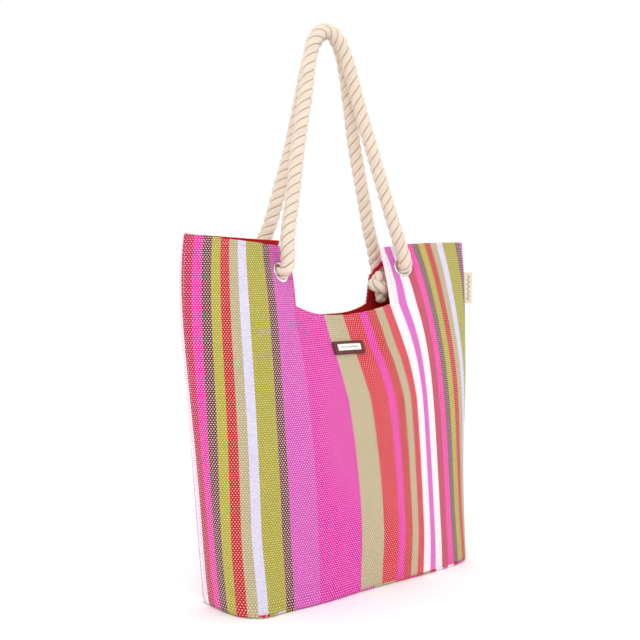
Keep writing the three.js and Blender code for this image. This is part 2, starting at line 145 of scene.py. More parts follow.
floor_material, _, floor_shader = new_material("pale_floor", 0.9)
floor_shader.inputs["Base Color"].default_value = linear("ffffff")
floor_shader.inputs["Specular IOR Level"].default_value = 0.1
FLOOR_REACH = 6.0
floor_mesh = bpy.data.meshes.new("floor")
floor_mesh.from_pydata(
    [(x * FLOOR_REACH, y * FLOOR_REACH, 0.0) for x, y in ((-1, -1), (1, -1), (1, 1), (-1, 1))],
    [], [(0, 1, 2, 3)])
floor_mesh.materials.append(floor_material)
floor = bpy.data.objects.new("floor", floor_mesh)
bpy.context.scene.collection.objects.link(floor)

# ---------------------------------------------------------------------------------------------------
# Rope handles: 15 mm cotton rope of three strands laid to the right. Each handle is one length that
# goes out through an eyelet, up over the arch and back in through the other eyelet of its wall.
MM = 0.001
STRAND_RADIUS = 5.6               # three strands, pressed together where they meet
STRAND_REACH = 2.6                # from the rope's middle line to a strand's
ROPE_LAY = 33.0                   # one full turn of the strands
ROPE_SIDES = 72
RING_STEP = 1.2
END_ROUNDING = 4.0
EYELET_SQUEEZE = 0.93             # the rope is pressed thinner near its ends, in the eyelets
SQUEEZE_END, SQUEEZE_FADE = 10.0, 6.0

EYELET_FACE = 1.8                 # an eyelet's outer face stands this far off the canvas
FACE_MARGIN = 0.02                # the points within this of the furthest one make up that face
OUTWARD = {"front": -1.0, "back": 1.0}


def rope_hole(wall, hand):
    """The middle of a rope's hole on the canvas, and the way out of the bag, from its eyelet's mesh."""
    mesh = frame["nodes"]["{}_{}_eyelet".format(wall, hand)].data
    points = np.array([vertex.co[:] for vertex in mesh.vertices]) / MM
    way_out = np.linalg.svd(points - points.mean(axis=0), full_matrices=False)[2][2]
    way_out *= math.copysign(1.0, way_out[1] * OUTWARD[wall])
    along = points @ way_out
    face = points[along > along.max() - FACE_MARGIN]
    return face.mean(axis=0) - way_out * EYELET_FACE, way_out


ROPE_HOLES = {wall: {hand: rope_hole(wall, hand) for hand in ("left", "right")} for wall in OUTWARD}
# Each arch: how far it leans to the right at its top, how far its feet stand to the right, and the
# points of its right half in metres, from beside the eyelet to the top. The left half mirrors them.
ARCHES = {
    "front": (0.0, 0.0, [(0.0810, -0.0155, 0.3820), (0.0690, -0.0085, 0.4260), (0.0548, 0.0005, 0.4820),
                    (0.0390, 0.0080, 0.5380), (0.0295, 0.0130, 0.5780), (0.0220, 0.0160, 0.6010),
                    (0.0120, 0.0175, 0.6140), (0.0000, 0.0180, 0.6185)]),
    "back": (0.014, 0.0032, [(0.0830, 0.0350, 0.3740), (0.0735, 0.0325, 0.3960), (0.0630, 0.0305, 0.4320),
                     (0.0475, 0.0300, 0.4860), (0.0360, 0.0305, 0.5400), (0.0270, 0.0320, 0.5820),
                     (0.0190, 0.0335, 0.6050), (0.0100, 0.0340, 0.6170), (0.0000, 0.0340, 0.6215)])}
LEAN_START, LEAN_POWER = 0.400, 1.2
FOOT_FADE = 1.6                   # the feet's shift is gone at one part in this many of the climb
BEND_OUT = 10.0                   # the rope turns upwards this far out from the wall
BEND_TANGENT = 7.4                # and its bend starts and ends this far from the corner
BEND_CUT = 2.4


def rope_route(wall):
    """The points that a handle's rope follows, in mm, from one eyelet over the arch to the other."""
    lean, foot_shift, half = ARCHES[wall]
    top = half[-1][2]
    ends = []
    for hand, side in (("left", -1.0), ("right", 1.0)):
        hole, out = (np.array(v) for v in ROPE_HOLES[wall][hand])
        rise = []
        for x, y, z in half:
            climb = max(0.0, (z - LEAN_START) / (top - LEAN_START))
            middle = lean * climb ** LEAN_POWER + foot_shift * max(0.0, 1 - FOOT_FADE * climb)
            rise.append(np.array((side * x + middle, y, z)) / MM)
        corner = hole + out * BEND_OUT
        upward = rise[0] - corner
        upward /= np.linalg.norm(upward)
        inner = upward - out
        inner /= np.linalg.norm(inner)
        ends.append([hole - out * 10, hole - out * 5, hole, corner - out * BEND_TANGENT,
                     corner + inner * BEND_CUT, corner + upward * BEND_TANGENT] + rise)
    left, right = ends
    return np.array(left + right[:-1][::-1])


def mesh_piece(name, points, faces, material, **attributes):
    """A smooth-shaded object at the origin from points in mm, with point attributes of 3 numbers."""
    mesh = bpy.data.meshes.new(name)
    mesh.from_pydata((np.asarray(points, float) * MM).tolist(), [], [tuple(map(int, f)) for f in faces])
    mesh.materials.append(material)
    mesh.polygons.foreach_set("use_smooth", [True] * len(mesh.polygons))
    for key, values in attributes.items():
        layer = mesh.attributes.new(key, "FLOAT_VECTOR", "POINT")
        layer.data.foreach_set("vector", np.asarray(values, np.float32).ravel())
    mesh.validate()
    made = bpy.data.objects.new(name, mesh)
    bpy.context.scene.collection.objects.link(made)
    return made


def even_curve(points, step):
    """Points at an even spacing along a smooth curve through the given ones (centripetal spline)."""
    p = np.asarray(points, float)
    p = np.vstack([2 * p[0] - p[1], p, 2 * p[-1] - p[-2]])
    knot = np.concatenate([[0], np.cumsum(np.linalg.norm(np.diff(p, axis=0), axis=1) ** 0.5)])
    fine = []
    for i in range(1, len(p) - 2):
        t = np.linspace(knot[i], knot[i + 1], 24, endpoint=i == len(p) - 3)[:, None]

        def between(a, b, i0, i1):
            return (knot[i1] - t) / (knot[i1] - knot[i0]) * a + (t - knot[i0]) / (knot[i1] - knot[i0]) * b

        a1 = between(p[i - 1], p[i], i - 1, i)
        a2 = between(p[i], p[i + 1], i, i + 1)
        a3 = between(p[i + 1], p[i + 2], i + 1, i + 2)
        fine.append(between(between(a1, a2, i - 1, i + 1), between(a2, a3, i, i + 2), i, i + 1))
    fine = np.vstack(fine)
    run = np.concatenate([[0], np.cumsum(np.linalg.norm(np.diff(fine, axis=0), axis=1))])
    at = np.linspace(0, run[-1], max(2, int(round(run[-1] / step)) + 1))
    return np.column_stack([np.interp(at, run, fine[:, k]) for k in range(3)])


def lay_strands(line, scale=1.0):
    """Three strands laid round a line of points, as one closed skin: points, faces and strand map."""
    tangent = np.gradient(line, axis=0)
    tangent /= np.linalg.norm(tangent, axis=1, keepdims=True)
    side = np.cross(tangent[0], (0.3, 0.5, 0.81))
    sides = []
    for t in tangent:
        side = side - t * (side @ t)
        side /= np.linalg.norm(side)
        sides.append(side)
    sides = np.array(sides)
    other = np.cross(tangent, sides)
    run = np.concatenate([[0], np.cumsum(np.linalg.norm(np.diff(line, axis=0), axis=1))])
    column = np.arange(ROPE_SIDES) * 2 * np.pi / ROPE_SIDES
    local = (column + np.pi / 3) % (2 * np.pi / 3) - np.pi / 3
    reach = STRAND_REACH * np.cos(local) + np.sqrt(STRAND_RADIUS ** 2 - (STRAND_REACH * np.sin(local)) ** 2)
    around = np.arctan2(reach * np.sin(local), reach * np.cos(local) - STRAND_REACH) * STRAND_RADIUS
    # depth: 0 in the grooves between strands, 1 on their crowns; the rope material paints shade in the
    # grooves from it
    depth = (reach - reach.min()) / (reach.max() - reach.min())
    angle = 2 * np.pi * run[:, None] / ROPE_LAY + column[None, :]
    from_end = np.minimum(run, run[-1] - run)
    released = np.clip((from_end - SQUEEZE_END) / SQUEEZE_FADE, 0, 1)
    squeeze = EYELET_SQUEEZE + (1 - EYELET_SQUEEZE) * released
    tip = np.sqrt(1 - np.clip(1 - from_end / END_ROUNDING, 0, 1) ** 2 * 0.7)
    radius = reach[None, :] * (scale * squeeze)[:, None] * tip[:, None]
    points = (line[:, None, :] + sides[:, None, :] * (np.cos(angle) * radius)[..., None]
              + other[:, None, :] * (np.sin(angle) * radius)[..., None]).reshape(-1, 3)
    rings = len(line)
    strand = np.floor((column + np.pi / 3) / (2 * np.pi / 3))
    marks = np.stack([np.broadcast_to(run[:, None], (rings, ROPE_SIDES)),
                      np.broadcast_to(around + strand * 40.0, (rings, ROPE_SIDES)),
                      np.broadcast_to(depth, (rings, ROPE_SIDES))], axis=-1).reshape(-1, 3)
    faces = []
    for i in range(rings - 1):
        for k in range(ROPE_SIDES):
            a, b = i * ROPE_SIDES + k, i * ROPE_SIDES + (k + 1) % ROPE_SIDES
            faces.append((a, b, b + ROPE_SIDES, a + ROPE_SIDES))
    for ring, sign in ((0, -1), (rings - 1, 1)):
        middle = len(points)
        points = np.vstack([points, line[ring] + sign * tangent[ring] * 1.5])
        marks = np.vstack([marks, (run[ring], 0.0, 0.6)])
        for k in range(ROPE_SIDES):
            a, b = ring * ROPE_SIDES + k, ring * ROPE_SIDES + (k + 1) % ROPE_SIDES
            faces.append((b, a, middle) if sign < 0 else (a, b, middle))
    return points, faces, marks


def grow_group(name, inputs, outputs):
    """A shader node group with named number, vector or colour sockets."""
    group = bpy.data.node_groups.new(name, "ShaderNodeTree")
    for label, kind, value in inputs:
        socket = group.interface.new_socket(label, in_out="INPUT", socket_type="NodeSocket" + kind)
        if value is not None:
            socket.default_value = value
    for label, kind in outputs:
        group.interface.new_socket(label, in_out="OUTPUT", socket_type="NodeSocket" + kind)
    return group, group.nodes.new("NodeGroupInput"), group.nodes.new("NodeGroupOutput")


# Handling marks: slow patches of slightly darker or lighter colour, and a finer speckle over them.
handling, h_in, h_out = grow_group(
    "handling_marks",
    [("Color", "Color", None), ("Patch Size", "Float", 0.05), ("Amount", "Float", 0.1)],
    [("Color", "Color")])
place = add_node(handling, "TexCoord").outputs["Object"]
patch = add_node(handling, "TexNoise", noise_dimensions="3D")
handling.links.new(place, patch.inputs["Vector"])
handling.links.new(calc(handling, "DIVIDE", 1.0, h_in.outputs["Patch Size"]), patch.inputs["Scale"])
patch.inputs["Detail"].default_value = 4.0
shade = calc(handling, "MULTIPLY_ADD", patch.outputs[0], h_in.outputs["Amount"],
             calc(handling, "SUBTRACT", 1.0, calc(handling, "MULTIPLY", h_in.outputs["Amount"], 0.55)))
tone = add_node(handling, "HueSaturation", 0.5, 1.0, shade, 1.0, h_in.outputs["Color"])
handling.links.new(tone.outputs[0], h_out.inputs["Color"])


def add_group(tree, group, **values):
    """A node group placed in a material, with its inputs given by name (spaces written as _)."""
    made = tree.nodes.new("ShaderNodeGroup")
    made.node_tree = group
    for name, value in values.items():
        socket = made.inputs[name.replace("_", " ")]
        if isinstance(value, bpy.types.NodeSocket):
            tree.links.new(value, socket)
        else:
            socket.default_value = value
    return made


cotton_rope, tree, shader = new_material("cotton_rope", 0.95)
marks = add_node(tree, "Attribute", attribute_name="strand")
part = add_node(tree, "SeparateXYZ", marks.outputs["Vector"])
YARN_PITCH = 1.25
YARN_SLOPE = 0.75
yarn_phase = calc(tree, "DIVIDE", calc(tree, "MULTIPLY_ADD", part.outputs[0], YARN_SLOPE, part.outputs[1]),
                  YARN_PITCH)
yarn = calc(tree, "ABSOLUTE", calc(tree, "SINE", calc(tree, "MULTIPLY", yarn_phase, math.pi)))
fuzz = add_node(tree, "TexNoise", noise_dimensions="3D")
tree.links.new(add_node(tree, "TexCoord").outputs["Object"], fuzz.inputs["Vector"])
fuzz.inputs["Scale"].default_value = 900.0
fuzz.inputs["Detail"].default_value = 5.0
# Painted shade: the rope darkens to a groove colour between its strands and to a shade colour between its
# yarns, and a light colour stands for the lit strand tops.
groove = add_node(tree, "MapRange", part.outputs[2], 0.0, 0.42, 0.0, 1.0, interpolation_type="SMOOTHSTEP")
rope_colour = blend_colour(tree, "MIX", groove.outputs[0], linear("c9a27c"), linear("fcecda"))
rope_colour = blend_colour(tree, "MULTIPLY", calc(tree, "MULTIPLY", calc(tree, "SUBTRACT", 1.0, yarn), 0.35),
                           rope_colour, linear("ead6bf"))
rope_tone = add_group(tree, handling, Color=rope_colour, Patch_Size=0.02, Amount=0.12)
tree.links.new(rope_tone.outputs[0], shader.inputs["Base Color"])
shader.inputs["Sheen Weight"].default_value = 0.35
shader.inputs["Sheen Roughness"].default_value = 0.5
add_bump(tree, shader, calc(tree, "MULTIPLY_ADD", fuzz.outputs[0], 0.9, yarn), 0.0004)

hinges = {joint["child"]: joint for joint in frame["record"]["behaviour"]["joints"]}
for wall, out in (("front", -0.6), ("back", 0.6)):
    line = even_curve(rope_route(wall), RING_STEP)
    points, faces, marks = lay_strands(line)
    rope = mesh_piece(wall + "_rope", points, faces, cotton_rope, strand=marks)
    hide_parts(wall + "_handle_rope")
    pivot, axis = Vector(hinges[wall + "_handle"]["pos_m"]), Vector(hinges[wall + "_handle"]["axis"])
    way = Vector((0.0, out, 0.8))
    way = (way - axis * way.dot(axis)).normalized()
    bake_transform(rope)

# ---------------------------------------------------------------------------------------------------
# Stopper knots: each rope end is tied inside the bag against the washer, one turn round its own tail,
# and the short tail hangs down. The rope is pressed thinner in the knot.
# Each knot's middle from its eyelet (away from the bag's middle, back and up), the way it winds, how
# wide its turn is, and how thick the rope in it is as a share of the handle's.
FRONT_KNOT = ((21.5, 14.6, 0.0), -1.0, 6.6, 0.78)
KNOTS = {"front": {"left": FRONT_KNOT, "right": FRONT_KNOT},
         "back": {"left": ((-12.0, -18.7, -17.0), 1.0, 7.4, 0.85),
                  "right": ((-20.0, -18.7, -13.0), 1.0, 8.4, 0.92)}}


def knot_line(wall, hand, side):
    """The middle line of a knot: in from the eyelet, once round the tail, over the top and down."""
    offset, winding, loop, _ = KNOTS[wall][hand]
    hole, out = (np.array(v) for v in ROPE_HOLES[wall][hand])
    middle = hole + np.array(offset) * (side, 1.0, 1.0)
    start = hole - out * 9
    way = winding * side
    first = math.atan2(start[1] - middle[1], start[0] - middle[0])
    points = [hole - out * 4, start]
    turns = [(50 + 48 * i, loop, drop) for i, drop in enumerate((3.0, 1.5, 0.0, -2.0, -4.0, -6.0, -6.5))]
    turns += [(386, 10.5, -1.0), (398, 10.5, 5.0), (411, 6.5, 9.5), (426, 1.5, 9.0)]
    for degrees, reach, rise in turns:
        angle = first + way * math.radians(degrees)
        points.append(middle + np.array((reach * math.cos(angle), reach * math.sin(angle), rise)))
    points += [middle + np.array((0.5, 0.3, -fall)) for fall in (2.0, 8.0, 14.0, 20.0)]
    return even_curve(points, RING_STEP)


for wall in ("front", "back"):
    for hand, side in (("left", -1.0), ("right", 1.0)):
        points, faces, marks = lay_strands(knot_line(wall, hand, side), KNOTS[wall][hand][3])
        knot = mesh_piece("{}_{}_stopper_knot".format(wall, hand), points, faces, cotton_rope, strand=marks)
        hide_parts("{}_{}_knot".format(wall, hand))
        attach(knot, "root")

# ---------------------------------------------------------------------------------------------------
# Striped canvas walls: the front and back panels are woven of thick dyed threads, cut with a scooped
# top, turned under at the rim and top-stitched. They meet at the side seams and stand on the base.
SHAPE_HEIGHT = 380.0              # the wall shapes below reach their top values here
RIM_HEIGHT = 383.5                # floor to the rim at the side seams
SEAM_HEIGHT = 3.6
PANEL_WIDTH = 433.5               # across the front panel at the base, from seam to seam
PANEL_TAPER = -5.1                # how much that changes up to the rim
DENT_REACH = 0.357                # width of the middle dent, as a share of the half width
# Each wall: how deep it is and how square its plan is, both at the base and at the top, how late it
# closes in and rounds off on the way up, and the dent in its middle that the drawn-in mouth makes.
WALLS = {
    "front": dict(depth=(65.9, 12.7), closing=2.94, squareness=(6.05, 1.75), rounding=0.3, dent=62.0,
                  rise=2.15),
    "back": dict(depth=(46.0, 19.0), closing=6.0, squareness=(2.8, 2.37), rounding=0.5, dent=8.0, rise=2.15)}
SCOOP_REACH = 75.0
SCOOP_CORNER, SCOOP_MIDDLE = 309.0, 297.3
# Eyelets, in mm across a wall to the right as seen from outside, and above the floor.
EYELETS = {"front": {"left": (-96.6, 344.4), "right": (102.5, 351.3)},
           "back": {"left": (88.0, 343.0), "right": (-98.0, 343.0)}}
HOLE_RADIUS = 9.4
SEAM_GAP = 0.3
CANVAS_THICKNESS = 1.2
LINING_INSET, LINING_THICKNESS = 1.5, 0.8
HEM_WIDTH = 7.0
TABLE_STEP = 2.0


def outline(wall, h, half_width):
    """Plan outlines of a wall at shares h of the shape height: x and the distance out, for each row."""
    shape = WALLS[wall]
    h = h[:, None]
    quarter = np.linspace(0, 1, 121)
    quarter = (6 * quarter ** 5 - 15 * quarter ** 4 + 10 * quarter ** 3) * math.pi / 2
    t = np.concatenate([quarter, math.pi - quarter[-2::-1]])[None, :]
    (base_depth, top_depth), (base_squareness, top_squareness) = shape["depth"], shape["squareness"]
    depth = base_depth + (top_depth - base_depth) * h ** shape["closing"]
    power = 2 / (base_squareness + (top_squareness - base_squareness) * h ** shape["rounding"])
    x = -half_width[:, None] * np.sign(np.cos(t)) * np.abs(np.cos(t)) ** power
    dent = shape["dent"] * h ** shape["rise"] * np.exp(-(x / (DENT_REACH * half_width[:, None])) ** 2)
    return x, depth * np.abs(np.sin(t)) ** power - dent


rows = np.arange(0.0, SHAPE_HEIGHT + 12.0, TABLE_STEP)
shares = rows / SHAPE_HEIGHT
low, high = np.full(len(rows), 100.0), np.full(len(rows), 260.0)
for _ in range(30):
    middle = (low + high) / 2
    x, y = outline("front", shares, middle)
    too_long = np.hypot(np.diff(x), np.diff(y)).sum(axis=1) > PANEL_WIDTH + PANEL_TAPER * shares
    low, high = np.where(too_long, low, middle), np.where(too_long, middle, high)
half_widths = (low + high) / 2

ACROSS_STEPS = 868
wall_table = {}
for wall in WALLS:
    x, y = outline(wall, shares, half_widths)
    table = np.zeros((len(rows), ACROSS_STEPS + 1, 2))
    for i in range(len(rows)):
        run = np.concatenate([[0], np.cumsum(np.hypot(np.diff(x[i]), np.diff(y[i])))])
        at = np.linspace(0, run[-1], ACROSS_STEPS + 1)
        table[i, :, 0] = np.interp(at, run, x[i])
        table[i, :, 1] = np.interp(at, run, y[i])
    wall_table[wall] = table


def smooth_step(value, start, end):
    """0 before start, 1 after end, and a smooth rise between them."""
    t = np.clip((value - start) / (end - start), 0, 1)
    return t * t * (3 - 2 * t)


def corner_push(wall, x, out, height):
    """How far the front's left base corner is pushed out of the even shape by what stands inside it."""
    if wall == "back":
        return 0.0 * x
    spread = 8.0 * np.exp(-((x + 150.0) / 24.0) ** 2) + 4.0 * np.exp(-((x + 90.0) / 55.0) ** 2)
    return spread * smooth_step(out, 12.0, 50.0) * (1 - smooth_step(height, 0.0, 90.0))


SEAM_BULGE = 5.0                  # the right-hand side seam leans out this far in the bag's upper half


def bare_wall(wall, across, height):
    """Points on a wall's smooth outer face. across is mm from the middle, to the right from outside."""
    column = np.clip((0.5 + across / PANEL_WIDTH) * ACROSS_STEPS, 0, ACROSS_STEPS - 1e-6)
    row = np.clip(height / TABLE_STEP, 0, len(rows) - 1.001)
    i, j = row.astype(int), column.astype(int)
    u, v = (row - i)[..., None], (column - j)[..., None]
    table = wall_table[wall]
    xy = ((table[i, j] * (1 - v) + table[i, j + 1] * v) * (1 - u)
          + (table[i + 1, j] * (1 - v) + table[i + 1, j + 1] * v) * u)
    turn = -1.0 if wall == "back" else 1.0
    x, out = xy[..., 0] * turn, xy[..., 1]
    out = out + corner_push(wall, x, out, height)
    x = x + SEAM_BULGE * smooth_step(x, 115.0, 200.0) * smooth_step(height, 120.0, 260.0)
    return np.stack([x, -out * turn, height + 0.0 * across], axis=-1)


def wall_normal(wall, across, height):
    """The way out of a wall, from short steps across and up."""
    step = 2.0
    a = np.clip(across, -PANEL_WIDTH / 2 + step, PANEL_WIDTH / 2 - step)
    h = np.clip(height, step, RIM_HEIGHT)
    sideways = bare_wall(wall, a + step, h) - bare_wall(wall, a - step, h)
    upward = bare_wall(wall, a, h + step) - bare_wall(wall, a, h - step)
    normal = np.cross(sideways, upward)
    return normal / np.linalg.norm(normal, axis=-1, keepdims=True)


SCOOP_CURVE = {"front": 2.0, "back": 4.0}   # the back's scoop is flatter in its middle


def scoop_height(wall, across):
    share = np.minimum(1.0, np.abs(across) / SCOOP_REACH)
    return SCOOP_MIDDLE + (SCOOP_CORNER - SCOOP_MIDDLE) * share ** SCOOP_CURVE[wall]


# How far the rim is lower beside the scoop than at the seam, and how quickly it drops: left, right.
DROOPS = {"front": ((12.5, 1), (9.0, 2)), "back": ((12.5, 1), (3.5, 1))}
FOLD_REACH, FOLD_DROP = 31.0, 29.0   # one corner of the back rim is folded down behind its rope


def ear_height(wall, across):
    beside = np.maximum(0.0, np.abs(across) - SCOOP_REACH)
    inward = np.maximum(0.0, 1 - beside / (PANEL_WIDTH / 2 - SCOOP_REACH))
    (left_drop, left_power), (right_drop, right_power) = DROOPS[wall]
    rim = RIM_HEIGHT - np.where(across < 0, left_drop * inward ** left_power,
                                right_drop * inward ** right_power)
    if wall == "back":
        rim = rim - np.where(across < 0, FOLD_DROP * np.maximum(0, 1 - beside / FOLD_REACH), 0.0)
    return rim


# How far the front's cloth sways sideways in the middle, at heights above the floor.
SWAY_HEIGHTS = (0, 60, 150, 205, 245, 261, 309, 335, 385)
SWAY_MIDDLE = (0.0, 2.5, 4.0, 5.0, 0.0, -3.0, -5.6, 0.0, 10.0)


def sway(wall, across, height):
    """How far along the wall the cloth has slipped from its even place, most about the scoop."""
    if wall == "back":
        return np.zeros(np.broadcast(across, height).shape)
    upper = smooth_step(height, 245, 309)
    share = 1 - smooth_step(np.abs(across), 50 + 30 * upper, 105 + 10 * upper)
    return np.interp(height, SWAY_HEIGHTS, SWAY_MIDDLE) * share


def rim_distance(wall, across, height):
    """How far inside the cut edge a point of the wall lies."""
    beside = np.abs(across) - SCOOP_REACH
    below = SCOOP_CORNER - height
    side = np.where(below > 0, np.hypot(np.maximum(beside, 0), np.maximum(below, 0)), beside)
    in_ear = np.minimum(ear_height(wall, across) - height, side)
    return np.where(beside < 0, scoop_height(wall, across) - height, in_ear)


def ripple(wall, across, height):
    """Soft swells of the cloth, the same for a wall and its lining, and none at seams or eyelets."""
    turn = 0.0 if wall == "front" else 2.1
    swell = (1.3 * np.sin(across / 31.0 + 1.1 * np.sin(height / 70.0 + turn) + turn)
             + 0.8 * np.sin(across / 17.0 - height / 60.0 + 1.3 + turn) * smooth_step(height, 60, 260)
             + 0.9 * np.sin(height / 38.0 + across / 95.0 + 0.4 + turn))
    edge = smooth_step(PANEL_WIDTH / 2 - np.abs(across), 4, 40) * smooth_step(height, 6, 60)
    badge = smooth_step(np.hypot(across / 1.9, height - 261.0), 12, 30) if wall == "front" else 1.0
    return swell * edge * badge * (1 - 0.5 * smooth_step(height, 300, 380))


EYELET_FLAT, EYELET_BLEND = 14.0, 26.0   # the cloth is flat this near an eyelet, and free beyond
TURN_UNDER = 7.0                  # the lower edge turns in over this height
SEAM_OVERHANG = 2.7               # all but the front's right half hangs down over the base seam


def cloth_point(wall, across, height, inset=0.0):
    """A point on a wall as sewn: swells, the flat round each eyelet, and the turn under at the base."""
    across, height = np.asarray(across, float), np.asarray(height, float)
    normal = wall_normal(wall, across, height)
    point = bare_wall(wall, across, height) + normal * ripple(wall, across, height)[..., None]
    for eyelet in EYELETS[wall].values():
        centre, out = bare_wall(wall, *map(np.array, eyelet)), wall_normal(wall, *map(np.array, eyelet))
        off = (point - centre) @ out
        away = np.linalg.norm(point - centre, axis=-1)
        held = 1 - smooth_step(away, EYELET_FLAT, EYELET_BLEND)
        point = point - out * (off * held)[..., None]
    low_part = np.clip(TURN_UNDER - height, 0, TURN_UNDER)
    tuck = TURN_UNDER - np.sqrt(TURN_UNDER ** 2 - low_part ** 2)
    point = point - normal * (tuck + inset)[..., None]
    over_seam = SEAM_OVERHANG * (1 - smooth_step(height, 4.0, 18.0))
    if wall == "front":
        over_seam = over_seam * (1 - smooth_step(across, -60.0, 0.0))
    point = point - over_seam[..., None] * np.array((0.0, 0.0, 1.0))
    return point, normal


def fine_spacing(start, end, coarse, edge_start, edge_end, fine=1.2, band=12.0):
    """Positions from start to end, coarse in the middle and fine in a band at the asked ends."""
    stops = [start]
    if edge_start:
        stops += list(np.arange(start + fine, start + band, fine))
    inner_start = stops[-1]
    inner_end = end - band if edge_end else end
    count = max(1, int(round((inner_end - inner_start) / coarse)))
    stops += list(np.linspace(inner_start, inner_end, count + 1)[1:])
    if edge_end:
        stops += list(np.linspace(end - band, end, int(band / fine) + 1)[1:])
    return stops


def wall_pattern(wall, top_slack, side_slack, coarse):
    """The flat pattern of a wall, the places it is worn at, and its faces, with the eyelet holes left out."""
    edge = PANEL_WIDTH / 2 - side_slack
    right = fine_spacing(SCOOP_REACH, edge, coarse, True, True)
    middle = np.linspace(-SCOOP_REACH, SCOOP_REACH, int(2 * SCOOP_REACH / coarse) + 1)[1:-1]
    columns = np.array([-a for a in right[::-1]] + list(middle) + right)
    first_scoop = len(right) - 1
    last_scoop = first_scoop + len(middle) + 1
    lower = np.array(fine_spacing(0, 1, coarse / 300, False, True, 1.2 / 300, 14 / 300))
    upper = np.array(fine_spacing(0, 1, coarse / 68, False, True, 1.2 / 68, 12 / 68))[1:]
    foot = SEAM_HEIGHT + SEAM_GAP
    places, faces, number = [], [], {}

    def corner(i, j):
        if (i, j) not in number:
            a = columns[i]
            top = float(scoop_height(wall, a)) - top_slack
            if j < len(lower):
                h = foot + (top - foot) * lower[j]
            else:
                h = top + (float(ear_height(wall, np.array(a))) - top_slack - top) * upper[j - len(lower)]
            number[i, j] = len(places)
            places.append((a, h))
        return number[i, j]

    for i in range(len(columns) - 1):
        in_scoop = first_scoop <= i < last_scoop
        for j in range(len(lower) + len(upper) - 1):
            if j >= len(lower) - 1 and in_scoop:
                continue
            faces.append((corner(i, j), corner(i + 1, j), corner(i + 1, j + 1), corner(i, j + 1)))
    places, faces = np.array(places), np.array(faces)
    worn = places.copy()
    worn[:, 0] += sway(wall, places[:, 0], places[:, 1])
    for eyelet in EYELETS[wall].values():
        offset = worn - eyelet
        away = np.linalg.norm(offset, axis=1)
        inside = away[faces].mean(axis=1) < HOLE_RADIUS
        rim = np.intersect1d(faces[inside].ravel(), faces[~inside].ravel())
        faces = faces[~inside]
        worn[rim] += offset[rim] / away[rim, None] * (HOLE_RADIUS - away[rim, None])
    used, faces = np.unique(faces, return_inverse=True)
    return places[used], worn[used], faces.reshape(-1, 4)


def thicken(piece, thickness, bevel, thin_share=None, weights=None):
    """Turns a sheet into a closed shell, inwards from its outer face, with rounded cut edges."""
    solid = piece.modifiers.new("thickness", "SOLIDIFY")
    solid.thickness = thickness * MM
    solid.offset = -1.0
    solid.use_even_offset = True
    if weights is not None:
        group = piece.vertex_groups.new(name="thick")
        for index, weight in enumerate(weights):
            group.add([index], float(weight), "REPLACE")
        solid.vertex_group = "thick"
        solid.thickness_vertex_group = thin_share
    round_edge = piece.modifiers.new("edges", "BEVEL")
    round_edge.width = bevel * MM
    round_edge.segments = 2
    round_edge.limit_method = "ANGLE"
    round_edge.angle_limit = math.radians(50)
    graph = bpy.context.evaluated_depsgraph_get()
    mesh = bpy.data.meshes.new_from_object(piece.evaluated_get(graph), depsgraph=graph)
    piece.modifiers.clear()
    piece.vertex_groups.clear()
    piece.data = mesh


def keep_apart(piece, wall, clearance):
    """Near the side seams a piece stays on its own wall's side of the seam."""
    data = piece.data
    place = np.zeros(len(data.vertices) * 3)
    data.vertices.foreach_get("co", place)
    place = place.reshape(-1, 3)
    mark = np.zeros(len(data.vertices) * 3)
    data.attributes["fabric"].data.foreach_get("vector", mark)
    near = np.abs(mark.reshape(-1, 3)[:, 0]) > 190.0
    limit = clearance * MM
    if wall == "front":
        place[near, 1] = np.minimum(place[near, 1], -limit)
    else:
        place[near, 1] = np.maximum(place[near, 1], limit)
    data.vertices.foreach_set("co", place.ravel())
    data.update()


# Woven ground with staggered raised floats: which float a point is on, its middle, and the relief.
weave, w_in, w_out = grow_group(
    "float_weave",
    [("Fabric", "Vector", None), ("Pitch", "Float", 3.0), ("Row", "Float", 2.2), ("Spread", "Float", 1.0)],
    [("Dot", "Float"), ("Across", "Float"), ("Height", "Float"), ("Shade", "Float")])
cloth = add_node(weave, "SeparateXYZ", w_in.outputs["Fabric"])
row_at = calc(weave, "DIVIDE", cloth.outputs[1], w_in.outputs["Row"])
row_number = calc(weave, "FLOOR", row_at)
row_part = calc(weave, "SUBTRACT", calc(weave, "SUBTRACT", row_at, row_number), 0.5)
shift = calc(weave, "MULTIPLY", calc(weave, "FLOORED_MODULO", row_number, 2.0), 0.5)
column_at = calc(weave, "ADD", calc(weave, "DIVIDE", cloth.outputs[0], w_in.outputs["Pitch"]), shift)
column_number = calc(weave, "FLOOR", column_at)
column_part = calc(weave, "SUBTRACT", calc(weave, "SUBTRACT", column_at, column_number), 0.5)
FLOAT_REACH, FLOAT_RISE = 0.22, 0.24
away = calc(weave, "SQRT", calc(
    weave, "ADD",
    calc(weave, "POWER", calc(weave, "DIVIDE", calc(weave, "ABSOLUTE", column_part), FLOAT_REACH), 2.0),
    calc(weave, "POWER", calc(weave, "DIVIDE", calc(weave, "ABSOLUTE", row_part), FLOAT_RISE), 2.0)))
away = calc(weave, "DIVIDE", away, w_in.outputs["Spread"])
dot = add_node(weave, "MapRange", away, 0.78, 1.1, 1.0, 0.0, interpolation_type="SMOOTHSTEP").outputs[0]
weave.links.new(dot, w_out.inputs["Dot"])
column_middle = calc(weave, "SUBTRACT", calc(weave, "ADD", column_number, 0.5), shift)
centre_across = calc(weave, "MULTIPLY", column_middle, w_in.outputs["Pitch"])
weave.links.new(centre_across, w_out.inputs["Across"])
dome = calc(weave, "SQRT", calc(weave, "MAXIMUM", 0.0, calc(
    weave, "SUBTRACT", 1.0, calc(weave, "POWER", calc(weave, "MULTIPLY", away, 0.88), 2.0))))
thread = calc(weave, "MULTIPLY", calc(weave, "SINE", calc(weave, "MULTIPLY", column_at, 8 * math.pi)), 0.08)
weave.links.new(calc(weave, "ADD", dome, thread), w_out.inputs["Height"])
cell = add_node(weave, "CombineXYZ", column_number, row_number, 0.0)
